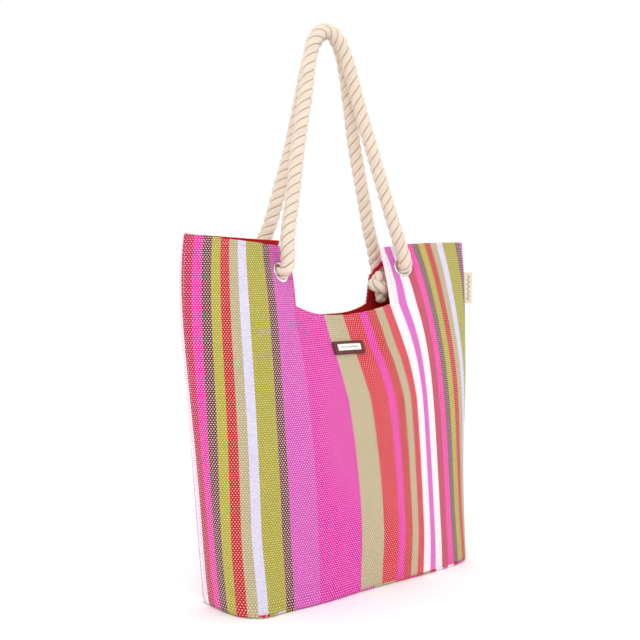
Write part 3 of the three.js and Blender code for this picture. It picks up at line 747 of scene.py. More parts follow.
chance = add_node(weave, "TexWhiteNoise", cell.outputs[0], noise_dimensions="2D")
weave.links.new(chance.outputs[0], w_out.inputs["Shade"])

# The stripe order, from -217 mm on the front panel: width, the colour it has from afar, and how much of
# it the raised floats cover. The floats carry a painted highlight, lighter than that colour, and the ground
# between them painted shade, darker.
STRIPE_START = -217.0
STRIPES = [
    ("crimson", 10.6, "c84f71", 0.17), ("pink", 10.7, "ea62ae", 0.17), ("dark brown", 9.3, "946764", 0.27),
    ("olive", 10.1, "bab162", 0.17), ("red", 10.1, "ca514f", 0.17), ("tan", 9.7, "c0b392", 0.20),
    ("lavender", 10.8, "dad4ea", 0.17), ("wide olive", 21.9, "b4ab5e", 0.17), ("brown", 11.0, "946764", 0.27),
    ("orchid", 32.5, "d46eb9", 0.15), ("magenta", 58.2, "dd54ac", 0.15), ("wide tan", 30.9, "c2b494", 0.17),
    ("coral red", 23.1, "d64e62", 0.16), ("bright magenta", 10.3, "e354ac", 0.15),
    ("rust", 10.9, "cc504f", 0.17), ("tan", 10.2, "c2b494", 0.17), ("coral", 9.5, "d85066", 0.17),
    ("white", 11.3, "f7edf1", 0.17), ("orchid", 9.6, "dc77c6", 0.15), ("white", 11.7, "f7edf1", 0.17)]
STRIPE_REPEAT = sum(stripe[1] for stripe in STRIPES)
FLOAT_COVER = math.pi * FLOAT_REACH * FLOAT_RISE      # the share of the cloth under floats of plain size
FLOAT_HIGHLIGHT = 0.62            # painted highlight: how far a float's colour lies from the stripe's towards white
DARKEST_GROUND = 0.004


# Painted highlight: a float's colour is the stripe's moved towards white.
def float_highlight_colour(stripe):
    return tuple(c + (1 - c) * FLOAT_HIGHLIGHT for c in linear(stripe[2])[:3]) + (1.0,)


def shaded_ground_colour(stripe):
    """The ground, darkened as painted shade, that gives the stripe's colour together with its floats; alpha
    holds half the spread.
    """
    cover = stripe[3]
    parts = zip(linear(stripe[2]), float_highlight_colour(stripe)[:3])
    shaded_ground = [max(DARKEST_GROUND, (whole - cover * top) / (1 - cover)) for whole, top in parts]
    return tuple(shaded_ground) + (0.5 * math.sqrt(cover / FLOAT_COVER),)


def stripe_ramp(tree, position, colour_of):
    """The stripes as a stepped colour ramp, read at a position across the cloth in mm."""
    along = calc(tree, "DIVIDE", calc(tree, "SUBTRACT", position, STRIPE_START), STRIPE_REPEAT)
    made = add_node(tree, "ValToRGB", calc(tree, "FRACT", along))
    ramp = made.color_ramp
    ramp.interpolation = "CONSTANT"
    at = 0.0
    for number, stripe in enumerate(STRIPES):
        stop = ramp.elements[number] if number < 2 else ramp.elements.new(at / STRIPE_REPEAT)
        stop.position = at / STRIPE_REPEAT
        stop.color = colour_of(stripe)
        at += stripe[1]
    return made


striped_canvas, tree, shader = new_material("striped_canvas", 0.82)
fabric = add_node(tree, "Attribute", attribute_name="fabric")
shaded_ground = stripe_ramp(tree, add_node(tree, "SeparateXYZ", fabric.outputs["Vector"]).outputs[0], shaded_ground_colour)
spread = calc(tree, "MULTIPLY", shaded_ground.outputs["Alpha"], 2.0)
floats = add_group(tree, weave, Fabric=fabric.outputs["Vector"], Pitch=2.95, Row=2.2, Spread=spread)
# Painted highlight on the floats over painted shade on the ground between them.
float_highlights = stripe_ramp(tree, floats.outputs["Across"], float_highlight_colour)
canvas_colour = blend_colour(tree, "MIX", floats.outputs["Dot"], shaded_ground.outputs[0], float_highlights.outputs[0])
varied = add_node(tree, "HueSaturation", 0.5, 1.0,
                  calc(tree, "MULTIPLY_ADD", floats.outputs["Shade"], 0.10, 0.95), 1.0, canvas_colour)
canvas_tone = add_group(tree, handling, Color=varied.outputs[0], Patch_Size=0.06, Amount=0.08)
tree.links.new(canvas_tone.outputs[0], shader.inputs["Base Color"])
shader.inputs["Sheen Weight"].default_value = 0.12
shader.inputs["Specular IOR Level"].default_value = 0.25
add_bump(tree, shader, floats.outputs["Height"], 0.00055, 0.9)


def fabric_marks(wall, places, worn):
    """Where the weave and the stripes lie on a wall: across, up, and the distance inside its edge."""
    slip = np.maximum(0.0, worn[:, 0] - places[:, 0]) * (places[:, 1] > SCOOP_CORNER)
    return np.column_stack([places[:, 0] + 0.6 * slip, places[:, 1], rim_distance(wall, *places.T)])


STITCH_INSET = 5.5
CANVAS_RIM_DROP = 0.3             # the lining's folded edge stands a little above the canvas's
BACK_STRIPE_SHIFT = -434.0        # the back panel is cut from another stretch of the striped cloth
for wall in ("front", "back"):
    places, worn, faces = wall_pattern(wall, CANVAS_RIM_DROP, SEAM_GAP, 2.7)
    cloth_marks = fabric_marks(wall, places, worn)
    rim = cloth_marks[:, 2]
    hem = 1 - smooth_step(rim, HEM_WIDTH, HEM_WIDTH + 3.0)
    pucker = 0.18 * np.sin((places[:, 0] + places[:, 1]) * 0.75) * (1 - smooth_step(rim, 4.0, 14.0))
    groove = 0.35 * np.exp(-((rim - STITCH_INSET) / 1.1) ** 2)
    point, normal = cloth_point(wall, *worn.T)
    point = point + normal * (0.4 * hem - groove + pucker * smooth_step(rim, 0, 3))[:, None]
    if wall == "back":
        cloth_marks[:, 0] += BACK_STRIPE_SHIFT
    panel = mesh_piece(wall + "_canvas_wall", point, faces, striped_canvas, fabric=cloth_marks)
    thicken(panel, 1.7, 0.45, thin_share=0.65, weights=hem)
    keep_apart(panel, wall, 0.15)
    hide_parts(wall + "_panel")
    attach(panel, "root")

# ---------------------------------------------------------------------------------------------------
# Base panel: a rectangle of the same canvas with rounded corners, its edge turned up 4 mm to meet the
# walls at the base seam. A stiff grey board lies on it, under the base lining.
BASE_STRIPE_SHIFT = 300.0
BASE_TUCK = 1.25                  # the base stands this far inside the walls' lower edge
BASE_STEPS = 61


def base_outline(inset, steps=BASE_STEPS):
    """The outline of the base, anticlockwise from the left, moved inwards."""
    halves = []
    for wall, side in (("front", -1.0), ("back", 1.0)):
        x, y = outline(wall, np.array([0.0]), half_widths[:1])
        run = np.concatenate([[0], np.cumsum(np.hypot(np.diff(x[0]), np.diff(y[0])))])
        at = np.linspace(0, run[-1], steps)
        along, out = np.interp(at, run, x[0]), np.interp(at, run, y[0])
        halves.append(np.column_stack([along, side * (out + corner_push(wall, along, out, 0.0))]))
    around = np.vstack([halves[0], halves[1][1:-1][::-1]])
    way = np.roll(around, -1, axis=0) - np.roll(around, 1, axis=0)
    way /= np.linalg.norm(way, axis=1, keepdims=True)
    return around + inset * np.column_stack([-way[:, 1], way[:, 0]])


def base_dish(name, material, rings, marks_shift):
    """A closed flat piece from rings (inset, height), from its underside's middle round to its top's."""
    points, faces = [], []
    count = len(base_outline(0.0))
    for inset, height in rings:
        shrink = base_outline(min(inset, 12.0))
        if inset > 12.0:
            shrink = shrink * max(0.0, 1 - (inset - 12.0) / 60.0)
        points += [(x, y, height) for x, y in shrink]
    for ring in range(len(rings) - 1):
        for i in range(count):
            a, b = ring * count + i, ring * count + (i + 1) % count
            faces.append((b, a, a + count, b + count))
    for ring, up in ((0, False), (len(rings) - 1, True)):
        middle = len(points)
        points.append((0.0, 0.0, rings[ring][1]))
        for i in range(count):
            a, b = ring * count + i, ring * count + (i + 1) % count
            faces.append((a, b, middle) if up else (b, a, middle))
    points = np.array(points)
    marks = np.column_stack([points[:, 0] + marks_shift, points[:, 1], np.full(len(points), 50.0)])
    piece = mesh_piece(name, points, faces, material, fabric=marks)
    recalculate_outside(piece)
    return piece


def recalculate_outside(piece):
    """Makes a closed piece's faces point outwards."""
    work = bmesh.new()
    work.from_mesh(piece.data)
    bmesh.ops.recalc_face_normals(work, faces=work.faces[:])
    work.to_mesh(piece.data)
    work.free()


turn = np.radians(np.linspace(0, 90, 7))
outer_rings = [(SEAM_HEIGHT * (1 - math.sin(t)), SEAM_HEIGHT * (1 - math.cos(t))) for t in turn]
inner_reach = SEAM_HEIGHT - CANVAS_THICKNESS
inner_rings = [(SEAM_HEIGHT - inner_reach * math.sin(t), SEAM_HEIGHT - inner_reach * math.cos(t))
               for t in turn[::-1]]
flat_rings = [(inset, 0.0) for inset in (66.0, 52.0, 38.0, 24.0, 12.0, 7.0)]
upper_rings = [(inset, CANVAS_THICKNESS) for inset, _ in flat_rings[::-1]]
tray_rings = flat_rings + outer_rings + inner_rings + upper_rings
base_cloth = base_dish("base_canvas", striped_canvas,
                       [(inset + BASE_TUCK, height) for inset, height in tray_rings], BASE_STRIPE_SHIFT)
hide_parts("base_panel")
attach(base_cloth, "root")
base_size = base_outline(-SEAM_HEIGHT / 2)

board_grey, tree, shader = new_material("board_grey", 0.75)
fibre = add_node(tree, "TexNoise", noise_dimensions="3D")
tree.links.new(add_node(tree, "TexCoord").outputs["Object"], fibre.inputs["Vector"])
fibre.inputs["Scale"].default_value = 600.0
fibre.inputs["Detail"].default_value = 4.0
board_colour = blend_colour(tree, "MIX", fibre.outputs[0], linear("2c2c2f"), linear("4a4a4e"))
board_tone = add_group(tree, handling, Color=board_colour, Patch_Size=0.04, Amount=0.2)
tree.links.new(board_tone.outputs[0], shader.inputs["Base Color"])
add_bump(tree, shader, fibre.outputs[0], 0.0002)
base_board = frame["nodes"]["base_board"]
for slot in base_board.material_slots:
    slot.material = board_grey

# ---------------------------------------------------------------------------------------------------
# Red lining: a plain-woven red cotton cut like the walls and the base, and sewn in at the rim and seams.
red_lining, tree, shader = new_material("red_lining", 0.85)
fabric = add_node(tree, "Attribute", attribute_name="fabric")
threads = add_node(tree, "SeparateXYZ", fabric.outputs["Vector"])
LINING_PITCH = 0.55
over = calc(tree, "SINE", calc(tree, "MULTIPLY", threads.outputs[0], 2 * math.pi / LINING_PITCH))
under = calc(tree, "SINE", calc(tree, "MULTIPLY", threads.outputs[1], 2 * math.pi / LINING_PITCH))
crossing = calc(tree, "MULTIPLY", over, under)
lining_colour = blend_colour(tree, "MIX", calc(tree, "MULTIPLY_ADD", crossing, 0.3, 0.5),
                             linear("d0000c"), linear("ff0a18"))
lining_tone = add_group(tree, handling, Color=lining_colour, Patch_Size=0.05, Amount=0.14)
tree.links.new(lining_tone.outputs[0], shader.inputs["Base Color"])
shader.inputs["Sheen Weight"].default_value = 0.08
shader.inputs["Specular IOR Level"].default_value = 0.25
add_bump(tree, shader, crossing, 0.00015)

LINING_RIM_DROP = 0.0
LINING_SEAM_GAP = 2.4
for wall in ("front", "back"):
    places, worn, faces = wall_pattern(wall, LINING_RIM_DROP, LINING_SEAM_GAP, 3.6)
    cloth_marks = fabric_marks(wall, places, worn)
    point, normal = cloth_point(wall, *worn.T, inset=LINING_INSET)
    point = point - normal * 0.05
    lining = mesh_piece(wall + "_red_lining", point, faces, red_lining, fabric=cloth_marks)
    thicken(lining, LINING_THICKNESS, 0.25)
    keep_apart(lining, wall, 0.15)
    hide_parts(wall + "_lining")
    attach(lining, "root")

BASE_LINING_INSET, BASE_LINING_BOTTOM = 6.0, 3.8
lining_flat = [(inset, BASE_LINING_BOTTOM) for inset in (66.0, 45.0, 24.0, 12.0, BASE_LINING_INSET + 0.3)]
lining_rings = lining_flat + [(BASE_LINING_INSET, BASE_LINING_BOTTOM + LINING_THICKNESS / 2)]
lining_rings += [(inset, BASE_LINING_BOTTOM + LINING_THICKNESS) for inset, _ in lining_flat[::-1]]
floor_lining = base_dish("base_red_lining", red_lining, lining_rings, 0.0)
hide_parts("base_lining")
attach(floor_lining, "root")

# ---------------------------------------------------------------------------------------------------
# Top stitching: one row through canvas and lining, all along the turned-under top edge, grey-pink on the
# canvas and red on the lining, and a row of grey-pink thread beside each side seam.
STITCH_PITCH = 3.4
STITCH_LENGTH = 2.5
THREAD_RADIUS = 0.28


def stitch_tree():
    """The node tree that lays stitches along an edge path."""
    made = bpy.data.node_groups.new("stitch_row", "GeometryNodeTree")
    sockets = made.interface
    sockets.new_socket("Path", in_out="INPUT", socket_type="NodeSocketGeometry")
    for label, value in (("Stitch Pitch", STITCH_PITCH), ("Stitch Length", STITCH_LENGTH),
                         ("Thread Radius", THREAD_RADIUS)):
        socket = sockets.new_socket(label, in_out="INPUT", socket_type="NodeSocketFloat")
        socket.default_value = value * MM
    sockets.new_socket("Thread", in_out="INPUT", socket_type="NodeSocketMaterial")
    sockets.new_socket("Stitches", in_out="OUTPUT", socket_type="NodeSocketGeometry")
    nodes, links = made.nodes, made.links
    given, result = nodes.new("NodeGroupInput"), nodes.new("NodeGroupOutput")
    curve = nodes.new("GeometryNodeMeshToCurve")
    spaced = nodes.new("GeometryNodeCurveToPoints")
    spaced.mode = "LENGTH"
    stitch = nodes.new("GeometryNodeMeshUVSphere")
    stitch.inputs["Segments"].default_value = 8
    stitch.inputs["Rings"].default_value = 5
    stitch.inputs["Radius"].default_value = 1.0
    turned = nodes.new("FunctionNodeAlignRotationToVector")
    turned.axis = "X"
    half = nodes.new("ShaderNodeMath")
    half.operation = "MULTIPLY"
    half.inputs[1].default_value = 0.5
    size = nodes.new("ShaderNodeCombineXYZ")
    laid = nodes.new("GeometryNodeInstanceOnPoints")
    real = nodes.new("GeometryNodeRealizeInstances")
    coloured = nodes.new("GeometryNodeSetMaterial")
    smooth = nodes.new("GeometryNodeSetShadeSmooth")
    links.new(given.outputs["Path"], curve.inputs["Mesh"])
    links.new(curve.outputs["Curve"], spaced.inputs["Curve"])
    links.new(given.outputs["Stitch Pitch"], spaced.inputs["Length"])
    links.new(spaced.outputs["Points"], laid.inputs["Points"])
    links.new(spaced.outputs["Tangent"], turned.inputs["Vector"])
    links.new(turned.outputs["Rotation"], laid.inputs["Rotation"])
    links.new(stitch.outputs["Mesh"], laid.inputs["Instance"])
    links.new(given.outputs["Stitch Length"], half.inputs[0])
    links.new(half.outputs[0], size.inputs["X"])
    links.new(given.outputs["Thread Radius"], size.inputs["Y"])
    links.new(given.outputs["Thread Radius"], size.inputs["Z"])
    links.new(size.outputs["Vector"], laid.inputs["Scale"])
    links.new(laid.outputs["Instances"], smooth.inputs["Geometry"])
    links.new(smooth.outputs["Geometry"], real.inputs["Geometry"])
    links.new(real.outputs["Geometry"], coloured.inputs["Geometry"])
    links.new(given.outputs["Thread"], coloured.inputs["Material"])
    links.new(coloured.outputs["Geometry"], result.inputs["Stitches"])
    return made


stitching = stitch_tree()


def thread_material(name, dark, light):
    """A twisted sewing thread."""
    material, tree, shader = new_material(name, 0.6)
    twist = add_node(tree, "TexNoise", noise_dimensions="3D")
    tree.links.new(add_node(tree, "TexCoord").outputs["Object"], twist.inputs["Vector"])
    twist.inputs["Scale"].default_value = 2500.0
    tree.links.new(blend_colour(tree, "MIX", twist.outputs[0], linear(dark), linear(light)),
                   shader.inputs["Base Color"])
    add_bump(tree, shader, twist.outputs[0], 0.00005)
    return material


red_thread = thread_material("red_thread", "b03040", "e06a78")
pink_thread = thread_material("pink_thread", "c884a4", "e8b4cc")


def stitch_rows(name, paths, thread, pitch=STITCH_PITCH, length=STITCH_LENGTH):
    """Rows of stitches along paths of points in mm, as one plain mesh riding on the bag."""
    points = np.vstack(paths)
    edges, start = [], 0
    for path in paths:
        edges += [(start + i, start + i + 1) for i in range(len(path) - 1)]
        start += len(path)
    mesh = bpy.data.meshes.new(name)
    mesh.from_pydata((points * MM).tolist(), edges, [])
    rows_object = bpy.data.objects.new(name, mesh)
    bpy.context.scene.collection.objects.link(rows_object)
    row_maker = rows_object.modifiers.new("stitches", "NODES")
    row_maker.node_group = stitching
    values = {"Stitch Pitch": pitch * MM, "Stitch Length": length * MM, "Thread Radius": THREAD_RADIUS * MM,
              "Thread": thread}
    for item in stitching.interface.items_tree:
        if item.in_out == "INPUT" and item.name in values:
            row_maker[item.identifier] = values[item.name]
    graph = bpy.context.evaluated_depsgraph_get()
    plain = bpy.data.meshes.new_from_object(rows_object.evaluated_get(graph), depsgraph=graph)
    rows_object.modifiers.clear()
    rows_object.data = plain
    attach(rows_object, "root")


def edge_route(wall, inset, end_gap=6.0):
    """The line that runs a given distance inside a wall's top edge, in flat places (across, height)."""
    reach = SCOOP_REACH + inset
    ear = np.linspace(-PANEL_WIDTH / 2 + end_gap, -reach, 60)
    ear_line = [(a, float(ear_height(wall, np.array(a))) - inset) for a in ear]
    side_top = ear_line[-1][1]
    drop = [(-reach, h) for h in np.linspace(side_top, SCOOP_CORNER - inset * 0.8, 30)[1:]]
    scoop = [(a, float(scoop_height(wall, a)) - inset) for a in np.linspace(-SCOOP_REACH, SCOOP_REACH, 70)]
    far_top = float(ear_height(wall, np.array(reach))) - inset
    rise = [(reach, h) for h in np.linspace(SCOOP_CORNER - inset * 0.8, far_top, 30)]
    far_ear = [(a, float(ear_height(wall, np.array(a))) - inset)
               for a in np.linspace(reach, PANEL_WIDTH / 2 - end_gap, 60)[1:]]
    return np.array(ear_line + drop + scoop + rise + far_ear)


def sewn_path(wall, flat, above):
    """A stitch path over a wall from flat places, a given distance outside its smooth face."""
    worn = flat.copy()
    worn[:, 0] += sway(wall, flat[:, 0], flat[:, 1])
    point, normal = cloth_point(wall, *worn.T)
    return point + normal * above


INNER_FACE = -(LINING_INSET + 0.05 + LINING_THICKNESS)
for wall in ("front", "back"):
    top_edge = edge_route(wall, STITCH_INSET)
    stitch_rows(wall + "_rim_stitches", [sewn_path(wall, top_edge, 0.2)], pink_thread)
    stitch_rows(wall + "_lining_stitches", [sewn_path(wall, top_edge, INNER_FACE - 0.1)],
                red_thread)
    heights = np.linspace(SEAM_HEIGHT + 10, RIM_HEIGHT - 12, 90)
    seams = [np.column_stack([np.full(90, side * (PANEL_WIDTH / 2 - 3.0)), heights]) for side in (-1.0, 1.0)]
    stitch_rows(wall + "_side_seam_stitches", [sewn_path(wall, seam, 0.1) for seam in seams],
                pink_thread, pitch=4.2, length=2.8)

# ---------------------------------------------------------------------------------------------------
# Eyelets and washers: rolled and nickel-plated brass, one pair at each rope hole. The eyelet's flange
# bears on the canvas, its barrel goes through both layers, and it is rolled over the washer inside.
METAL_SIDES = 72
nickel, tree, shader = new_material("nickel", 0.28, 1.0)
scuff = add_node(tree, "TexNoise", noise_dimensions="3D")
tree.links.new(add_node(tree, "TexCoord").outputs["Object"], scuff.inputs["Vector"])
scuff.inputs["Scale"].default_value = 350.0
scuff.inputs["Detail"].default_value = 6.0
tree.links.new(add_node(tree, "MapRange", scuff.outputs[0], 0.3, 0.8, 0.20, 0.42).outputs[0],
               shader.inputs["Roughness"])
tree.links.new(blend_colour(tree, "MIX", scuff.outputs[0], linear("c9c5bf"), linear("f2f0ec")),
               shader.inputs["Base Color"])
add_bump(tree, shader, scuff.outputs[0], 0.00004)


def turned_ring(name, profile, hole, out):
    """A ring turned from a closed profile of (radius, distance out) about an eyelet's axis."""
    axis = np.array(out) / np.linalg.norm(out)
    first = np.cross(axis, (0.0, 0.0, 1.0))
    first /= np.linalg.norm(first)
    second = np.cross(axis, first)
    angle = np.arange(METAL_SIDES) * 2 * math.pi / METAL_SIDES
    spokes = np.cos(angle)[:, None] * first + np.sin(angle)[:, None] * second
    points = np.vstack([np.array(hole) + axis * z + spokes * r for r, z in profile])
    count, faces = len(profile), []
    for ring in range(count):
        for i in range(METAL_SIDES):
            a, b = ring * METAL_SIDES + i, ring * METAL_SIDES + (i + 1) % METAL_SIDES
            c = (ring + 1) % count * METAL_SIDES
            faces.append((a, b, c + (i + 1) % METAL_SIDES, c + i))
    ring_object = mesh_piece(name, points, faces, nickel)
    recalculate_outside(ring_object)
    return ring_object


FLANGE_RADIUS, BARREL_OUTER, BARREL_INNER = 11.5, 9.0, 8.0
INSIDE = -(LINING_INSET + LINING_THICKNESS)
crown = [(FLANGE_RADIUS - 1.5 + 1.5 * math.cos(t), 0.3 + 1.0 * math.sin(t))
         for t in np.radians(np.linspace(0, 105, 9))]
lip = [(BARREL_INNER + 1.0 + math.cos(t), 0.4 + math.sin(t)) for t in np.radians(np.linspace(95, 180, 7))]
roll = [(BARREL_OUTER + 0.35 + 0.75 * math.cos(t), INSIDE - 1.55 + 0.75 * math.sin(t))
        for t in np.radians(np.linspace(190, 380, 10))]
eyelet_profile = crown + lip + [(BARREL_INNER, -0.5), (BARREL_INNER, INSIDE - 1.4)] + roll[1:]
eyelet_profile += [(BARREL_OUTER, INSIDE - 1.3), (BARREL_OUTER, 0.1), (FLANGE_RADIUS - 0.4, 0.1)]
washer_profile = [(BARREL_OUTER + 0.3, INSIDE - 1.15), (FLANGE_RADIUS - 0.9, INSIDE - 1.15),
                  (FLANGE_RADIUS - 0.3, INSIDE - 0.95), (FLANGE_RADIUS, INSIDE - 0.5),
                  (FLANGE_RADIUS - 0.3, INSIDE - 0.25), (BARREL_OUTER + 0.3, INSIDE - 0.25)]
for wall, holes in ROPE_HOLES.items():
    for hand, (hole, out) in holes.items():
        node = "{}_{}_".format(wall, hand)
        eyelet_ring = turned_ring(node + "rolled_eyelet", eyelet_profile, hole, out)
        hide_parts(node + "eyelet")
        back_ring = turned_ring(node + "back_washer", washer_profile, hole, out)
        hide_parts(node + "washer")
        for ring_object in (eyelet_ring, back_ring):
            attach(ring_object, "root")

# ---------------------------------------------------------------------------------------------------
# Badge: a small patch of dark red-brown leather sewn round its edge to the front wall, with a polished
# metal plate on it. The plate has only a plain engraved row of waves.
BADGE_HEIGHT = 261.0
BADGE_HALF = (23.0, 7.0)
PLATE_HALF = (17.5, 3.6)


def rounded_plate(name, half, corner, under, thickness, crown_rise, material, soft_edge):
    """A rounded rectangle that follows the front wall: a closed plate with a softened upper edge."""
    levels = [(0.0, 0.0), (0.0, 0.55), (soft_edge * 0.3, 0.85), (soft_edge, 1.0)]
    quarter = np.radians(np.linspace(0, 90, 7))
    points, faces = [], []

    def edge_ring():
        around = []
        for turn_index, (sx, sy) in enumerate(((1, 1), (-1, 1), (-1, -1), (1, -1))):
            for t in quarter:
                angle = t + turn_index * math.pi / 2
                around.append((sx * (half[0] - corner) + corner * math.cos(angle),
                               sy * (half[1] - corner) + corner * math.sin(angle), 0.0))
        straight = []
        for k, here in enumerate(around):
            there = around[(k + 1) % len(around)]
            steps = max(1, int(math.hypot(there[0] - here[0], there[1] - here[1]) / 2.0))
            straight += [tuple(here[m] + (there[m] - here[m]) * s / steps for m in range(3))
                         for s in range(steps)]
        return straight

    loops = [edge_ring()]
    count = len(loops[0])

    def squeezed(inset, rise):
        share_x, share_y = (half[0] - inset) / half[0], (half[1] - inset) / half[1]
        return [(x * share_x, y * share_y, rise) for x, y, _ in loops[0]]

    loops += [squeezed(inset, rise) for inset, rise in levels[1:]]
    for share in (0.75, 0.5, 0.25):
        loops.append([(x * share, y * share, 1.0 + crown_rise * (1 - share)) for x, y, _ in loops[3]])
    under_loops = [[(x * share, y * share, 0.0) for x, y, _ in loops[0]] for share in (0.25, 0.5, 0.75)]
    loops = under_loops + loops
    for loop in loops:
        points += loop
    for k in range(len(loops) - 1):
        for i in range(count):
            a, b = k * count + i, k * count + (i + 1) % count
            faces.append((a, b, b + count, a + count))
    last = (len(loops) - 1) * count
    faces += [(i, (i + 1) % count, len(points)) for i in range(count)]
    points.append((0.0, 0.0, 0.0))
    faces += [(last + i, last + (i + 1) % count, len(points)) for i in range(count)]
    points.append((0.0, 0.0, 1.0 + crown_rise))
    flat = np.array(points)
    centre_across = float(sway("front", np.array(0.0), np.array(BADGE_HEIGHT)))
    face = bare_wall("front", flat[:, 0] + centre_across, flat[:, 1] + BADGE_HEIGHT)
    out = wall_normal("front", flat[:, 0] * 0.5 + centre_across, flat[:, 1] * 0 + BADGE_HEIGHT)
    placed = face + out * (under + flat[:, 2] * thickness)[:, None]
    piece = mesh_piece(name, placed, faces, material, fabric=flat)
    recalculate_outside(piece)
    return piece


brown_leather, tree, shader = new_material("brown_leather", 0.5)
place = add_node(tree, "TexCoord").outputs["Object"]
grain = add_node(tree, "TexVoronoi")
tree.links.new(place, grain.inputs["Vector"])
grain.inputs["Scale"].default_value = 1100.0
leather_marks = add_node(tree, "SeparateXYZ",
                         add_node(tree, "Attribute", attribute_name="fabric").outputs["Vector"])
# Darker along the patch's upper and lower edges.
long_edge_darkening = add_node(tree, "MapRange", calc(tree, "ABSOLUTE", leather_marks.outputs[1]), 5.8, 7.0, 0.0, 1.0)
leather_colour = blend_colour(tree, "MIX", grain.outputs["Distance"], linear("4a0f0e"), linear("6d2019"))
leather_colour = blend_colour(tree, "MIX", calc(tree, "MULTIPLY", long_edge_darkening.outputs[0], 0.5), leather_colour,
                              linear("3a0a0c"))
leather_tone = add_group(tree, handling, Color=leather_colour, Patch_Size=0.01, Amount=0.25)
tree.links.new(leather_tone.outputs[0], shader.inputs["Base Color"])
add_bump(tree, shader, grain.outputs["Distance"], 0.0002)

patch_piece = rounded_plate("leather_patch", BADGE_HALF, 1.8, 0.9, 1.9, 0.05, brown_leather, 0.7)
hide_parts("badge_patch")
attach(patch_piece, "root")

plate_metal, tree, shader = new_material("plate_metal", 0.3, 1.0)
plate_marks = add_node(tree, "SeparateXYZ",
                       add_node(tree, "Attribute", attribute_name="fabric").outputs["Vector"])
WAVE_LENGTH, WAVE_HEIGHT = 5.0, 0.8
wave_turn = calc(tree, "MULTIPLY", plate_marks.outputs[0], 2 * math.pi / WAVE_LENGTH)
wave = calc(tree, "MULTIPLY", calc(tree, "SINE", wave_turn), WAVE_HEIGHT)
off_wave = calc(tree, "ABSOLUTE", calc(tree, "SUBTRACT", plate_marks.outputs[1], wave))
wave_line = add_node(tree, "MapRange", off_wave, 0.25, 0.5, 1.0, 0.0)
from_middle = calc(tree, "ABSOLUTE", plate_marks.outputs[0])
inside_plate = add_node(tree, "MapRange", from_middle, 13.0, 13.4, 1.0, 0.0)
engraved = calc(tree, "MULTIPLY", wave_line.outputs[0], inside_plate.outputs[0])
brushed = add_node(tree, "TexNoise", noise_dimensions="3D")
stretch = add_node(tree, "Mapping", add_node(tree, "Attribute", attribute_name="fabric").outputs["Vector"])
stretch.inputs["Scale"].default_value = (0.6, 9.0, 1.0)
tree.links.new(stretch.outputs[0], brushed.inputs["Vector"])
brushed.inputs["Scale"].default_value = 1.5
brushed.inputs["Detail"].default_value = 4.0
tree.links.new(blend_colour(tree, "MIX", engraved, linear("e9e8e4"), linear("6a615c")),
               shader.inputs["Base Color"])
tree.links.new(add_node(tree, "MapRange", brushed.outputs[0], 0.3, 0.7, 0.22, 0.4).outputs[0],
               shader.inputs["Roughness"])
brushed_height = calc(tree, "MULTIPLY", brushed.outputs[0], 0.2)
add_bump(tree, shader, calc(tree, "SUBTRACT", brushed_height, engraved), 0.00012)

plate_piece = rounded_plate("metal_plate", PLATE_HALF, 1.0, 0.9 + 1.9 + 0.25, 0.9, 0.25, plate_metal, 0.4)
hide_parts("badge_plate")
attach(plate_piece, "root")

# ---------------------------------------------------------------------------------------------------
# Side label: a cream woven tape folded double and caught in the right-hand side seam, with a plain
# woven zigzag along it.
LABEL_BOTTOM, LABEL_TOP = 307.0, 346.0
LABEL_REACH, LABEL_PLY, LABEL_LOOSENESS = 15.0, 0.5, 0.5
label_middle = np.array((LABEL_BOTTOM + LABEL_TOP) / 2)
seam_x = float(bare_wall("front", np.array(PANEL_WIDTH / 2), label_middle)[0]) + 1.0
outer = LABEL_PLY + LABEL_LOOSENESS / 2
bend_x = seam_x + LABEL_REACH - outer
fold = [(x, -outer) for x in np.linspace(seam_x, bend_x, 15)]
fold += [(bend_x + outer * math.sin(t), -outer * math.cos(t)) for t in np.radians(np.linspace(15, 165, 11))]
fold += [(x, outer) for x in np.linspace(bend_x, seam_x, 15)]
fold = np.array(fold)
run = np.concatenate([[0], np.cumsum(np.linalg.norm(np.diff(fold, axis=0), axis=1))])
levels = np.linspace(LABEL_BOTTOM, LABEL_TOP, 40)
points, marks, faces = [], [], []
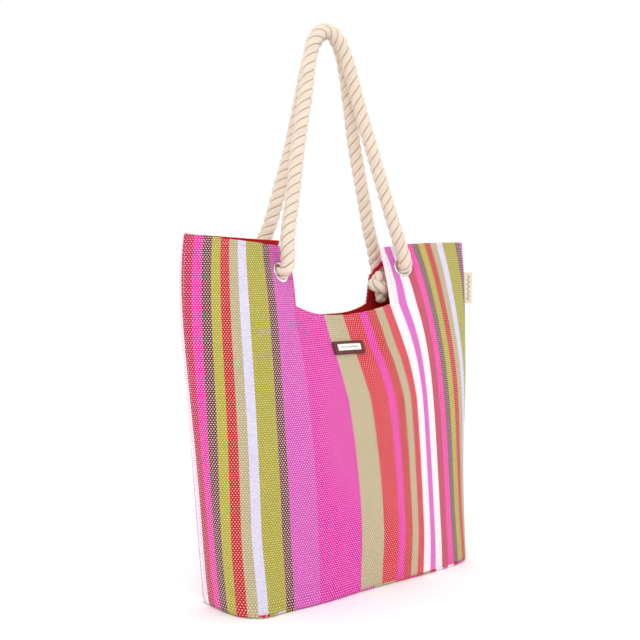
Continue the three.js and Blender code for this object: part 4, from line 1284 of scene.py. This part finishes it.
for h in levels:
    for (x, y), r in zip(fold, run):
        curl = 0.5 * math.sin((h - LABEL_BOTTOM) / 9.0) * ((x - seam_x) / LABEL_REACH) ** 2
        points.append((x + 0.12 * math.sin(h * 1.7), y + curl, h))
        marks.append((r - run[-1] / 2, h - LABEL_BOTTOM, 0.0))
count = len(fold)
for j in range(len(levels) - 1):
    for i in range(count - 1):
        a = j * count + i
        faces.append((a, a + 1, a + 1 + count, a + count))
natural_tape, tree, shader = new_material("natural_tape", 0.9)
tape = add_node(tree, "SeparateXYZ", add_node(tree, "Attribute", attribute_name="fabric").outputs["Vector"])
across_tape = calc(tree, "SUBTRACT", LABEL_REACH / 2, calc(tree, "ABSOLUTE", tape.outputs[0]))
sawtooth = calc(tree, "SUBTRACT", calc(tree, "PINGPONG", tape.outputs[1], 3.0), 1.5)
zigzag = calc(tree, "MULTIPLY", sawtooth, 1.3)
zig_line = add_node(tree, "MapRange", calc(tree, "ABSOLUTE", calc(tree, "SUBTRACT", across_tape, zigzag)),
                    0.5, 0.9, 1.0, 0.0)
off_middle = calc(tree, "ABSOLUTE", calc(tree, "SUBTRACT", tape.outputs[1], 19.5))
inside_tape = add_node(tree, "MapRange", off_middle, 16.0, 16.4, 1.0, 0.0)
zig = calc(tree, "MULTIPLY", zig_line.outputs[0], inside_tape.outputs[0])
TAPE_RIB = 0.5
rib = calc(tree, "ABSOLUTE", calc(tree, "SINE", calc(tree, "MULTIPLY", tape.outputs[1], math.pi / TAPE_RIB)))
tape_colour = blend_colour(tree, "MIX", rib, linear("d8cba8"), linear("efe6cf"))
tape_colour = blend_colour(tree, "MIX", zig, tape_colour, linear("4a3030"))
tape_tone = add_group(tree, handling, Color=tape_colour, Patch_Size=0.01, Amount=0.1)
tree.links.new(tape_tone.outputs[0], shader.inputs["Base Color"])
add_bump(tree, shader, rib, 0.00015)
label = mesh_piece("woven_side_label", points, faces, natural_tape, fabric=marks)
thicken(label, LABEL_PLY, 0.15)
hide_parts("side_label")
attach(label, "root")
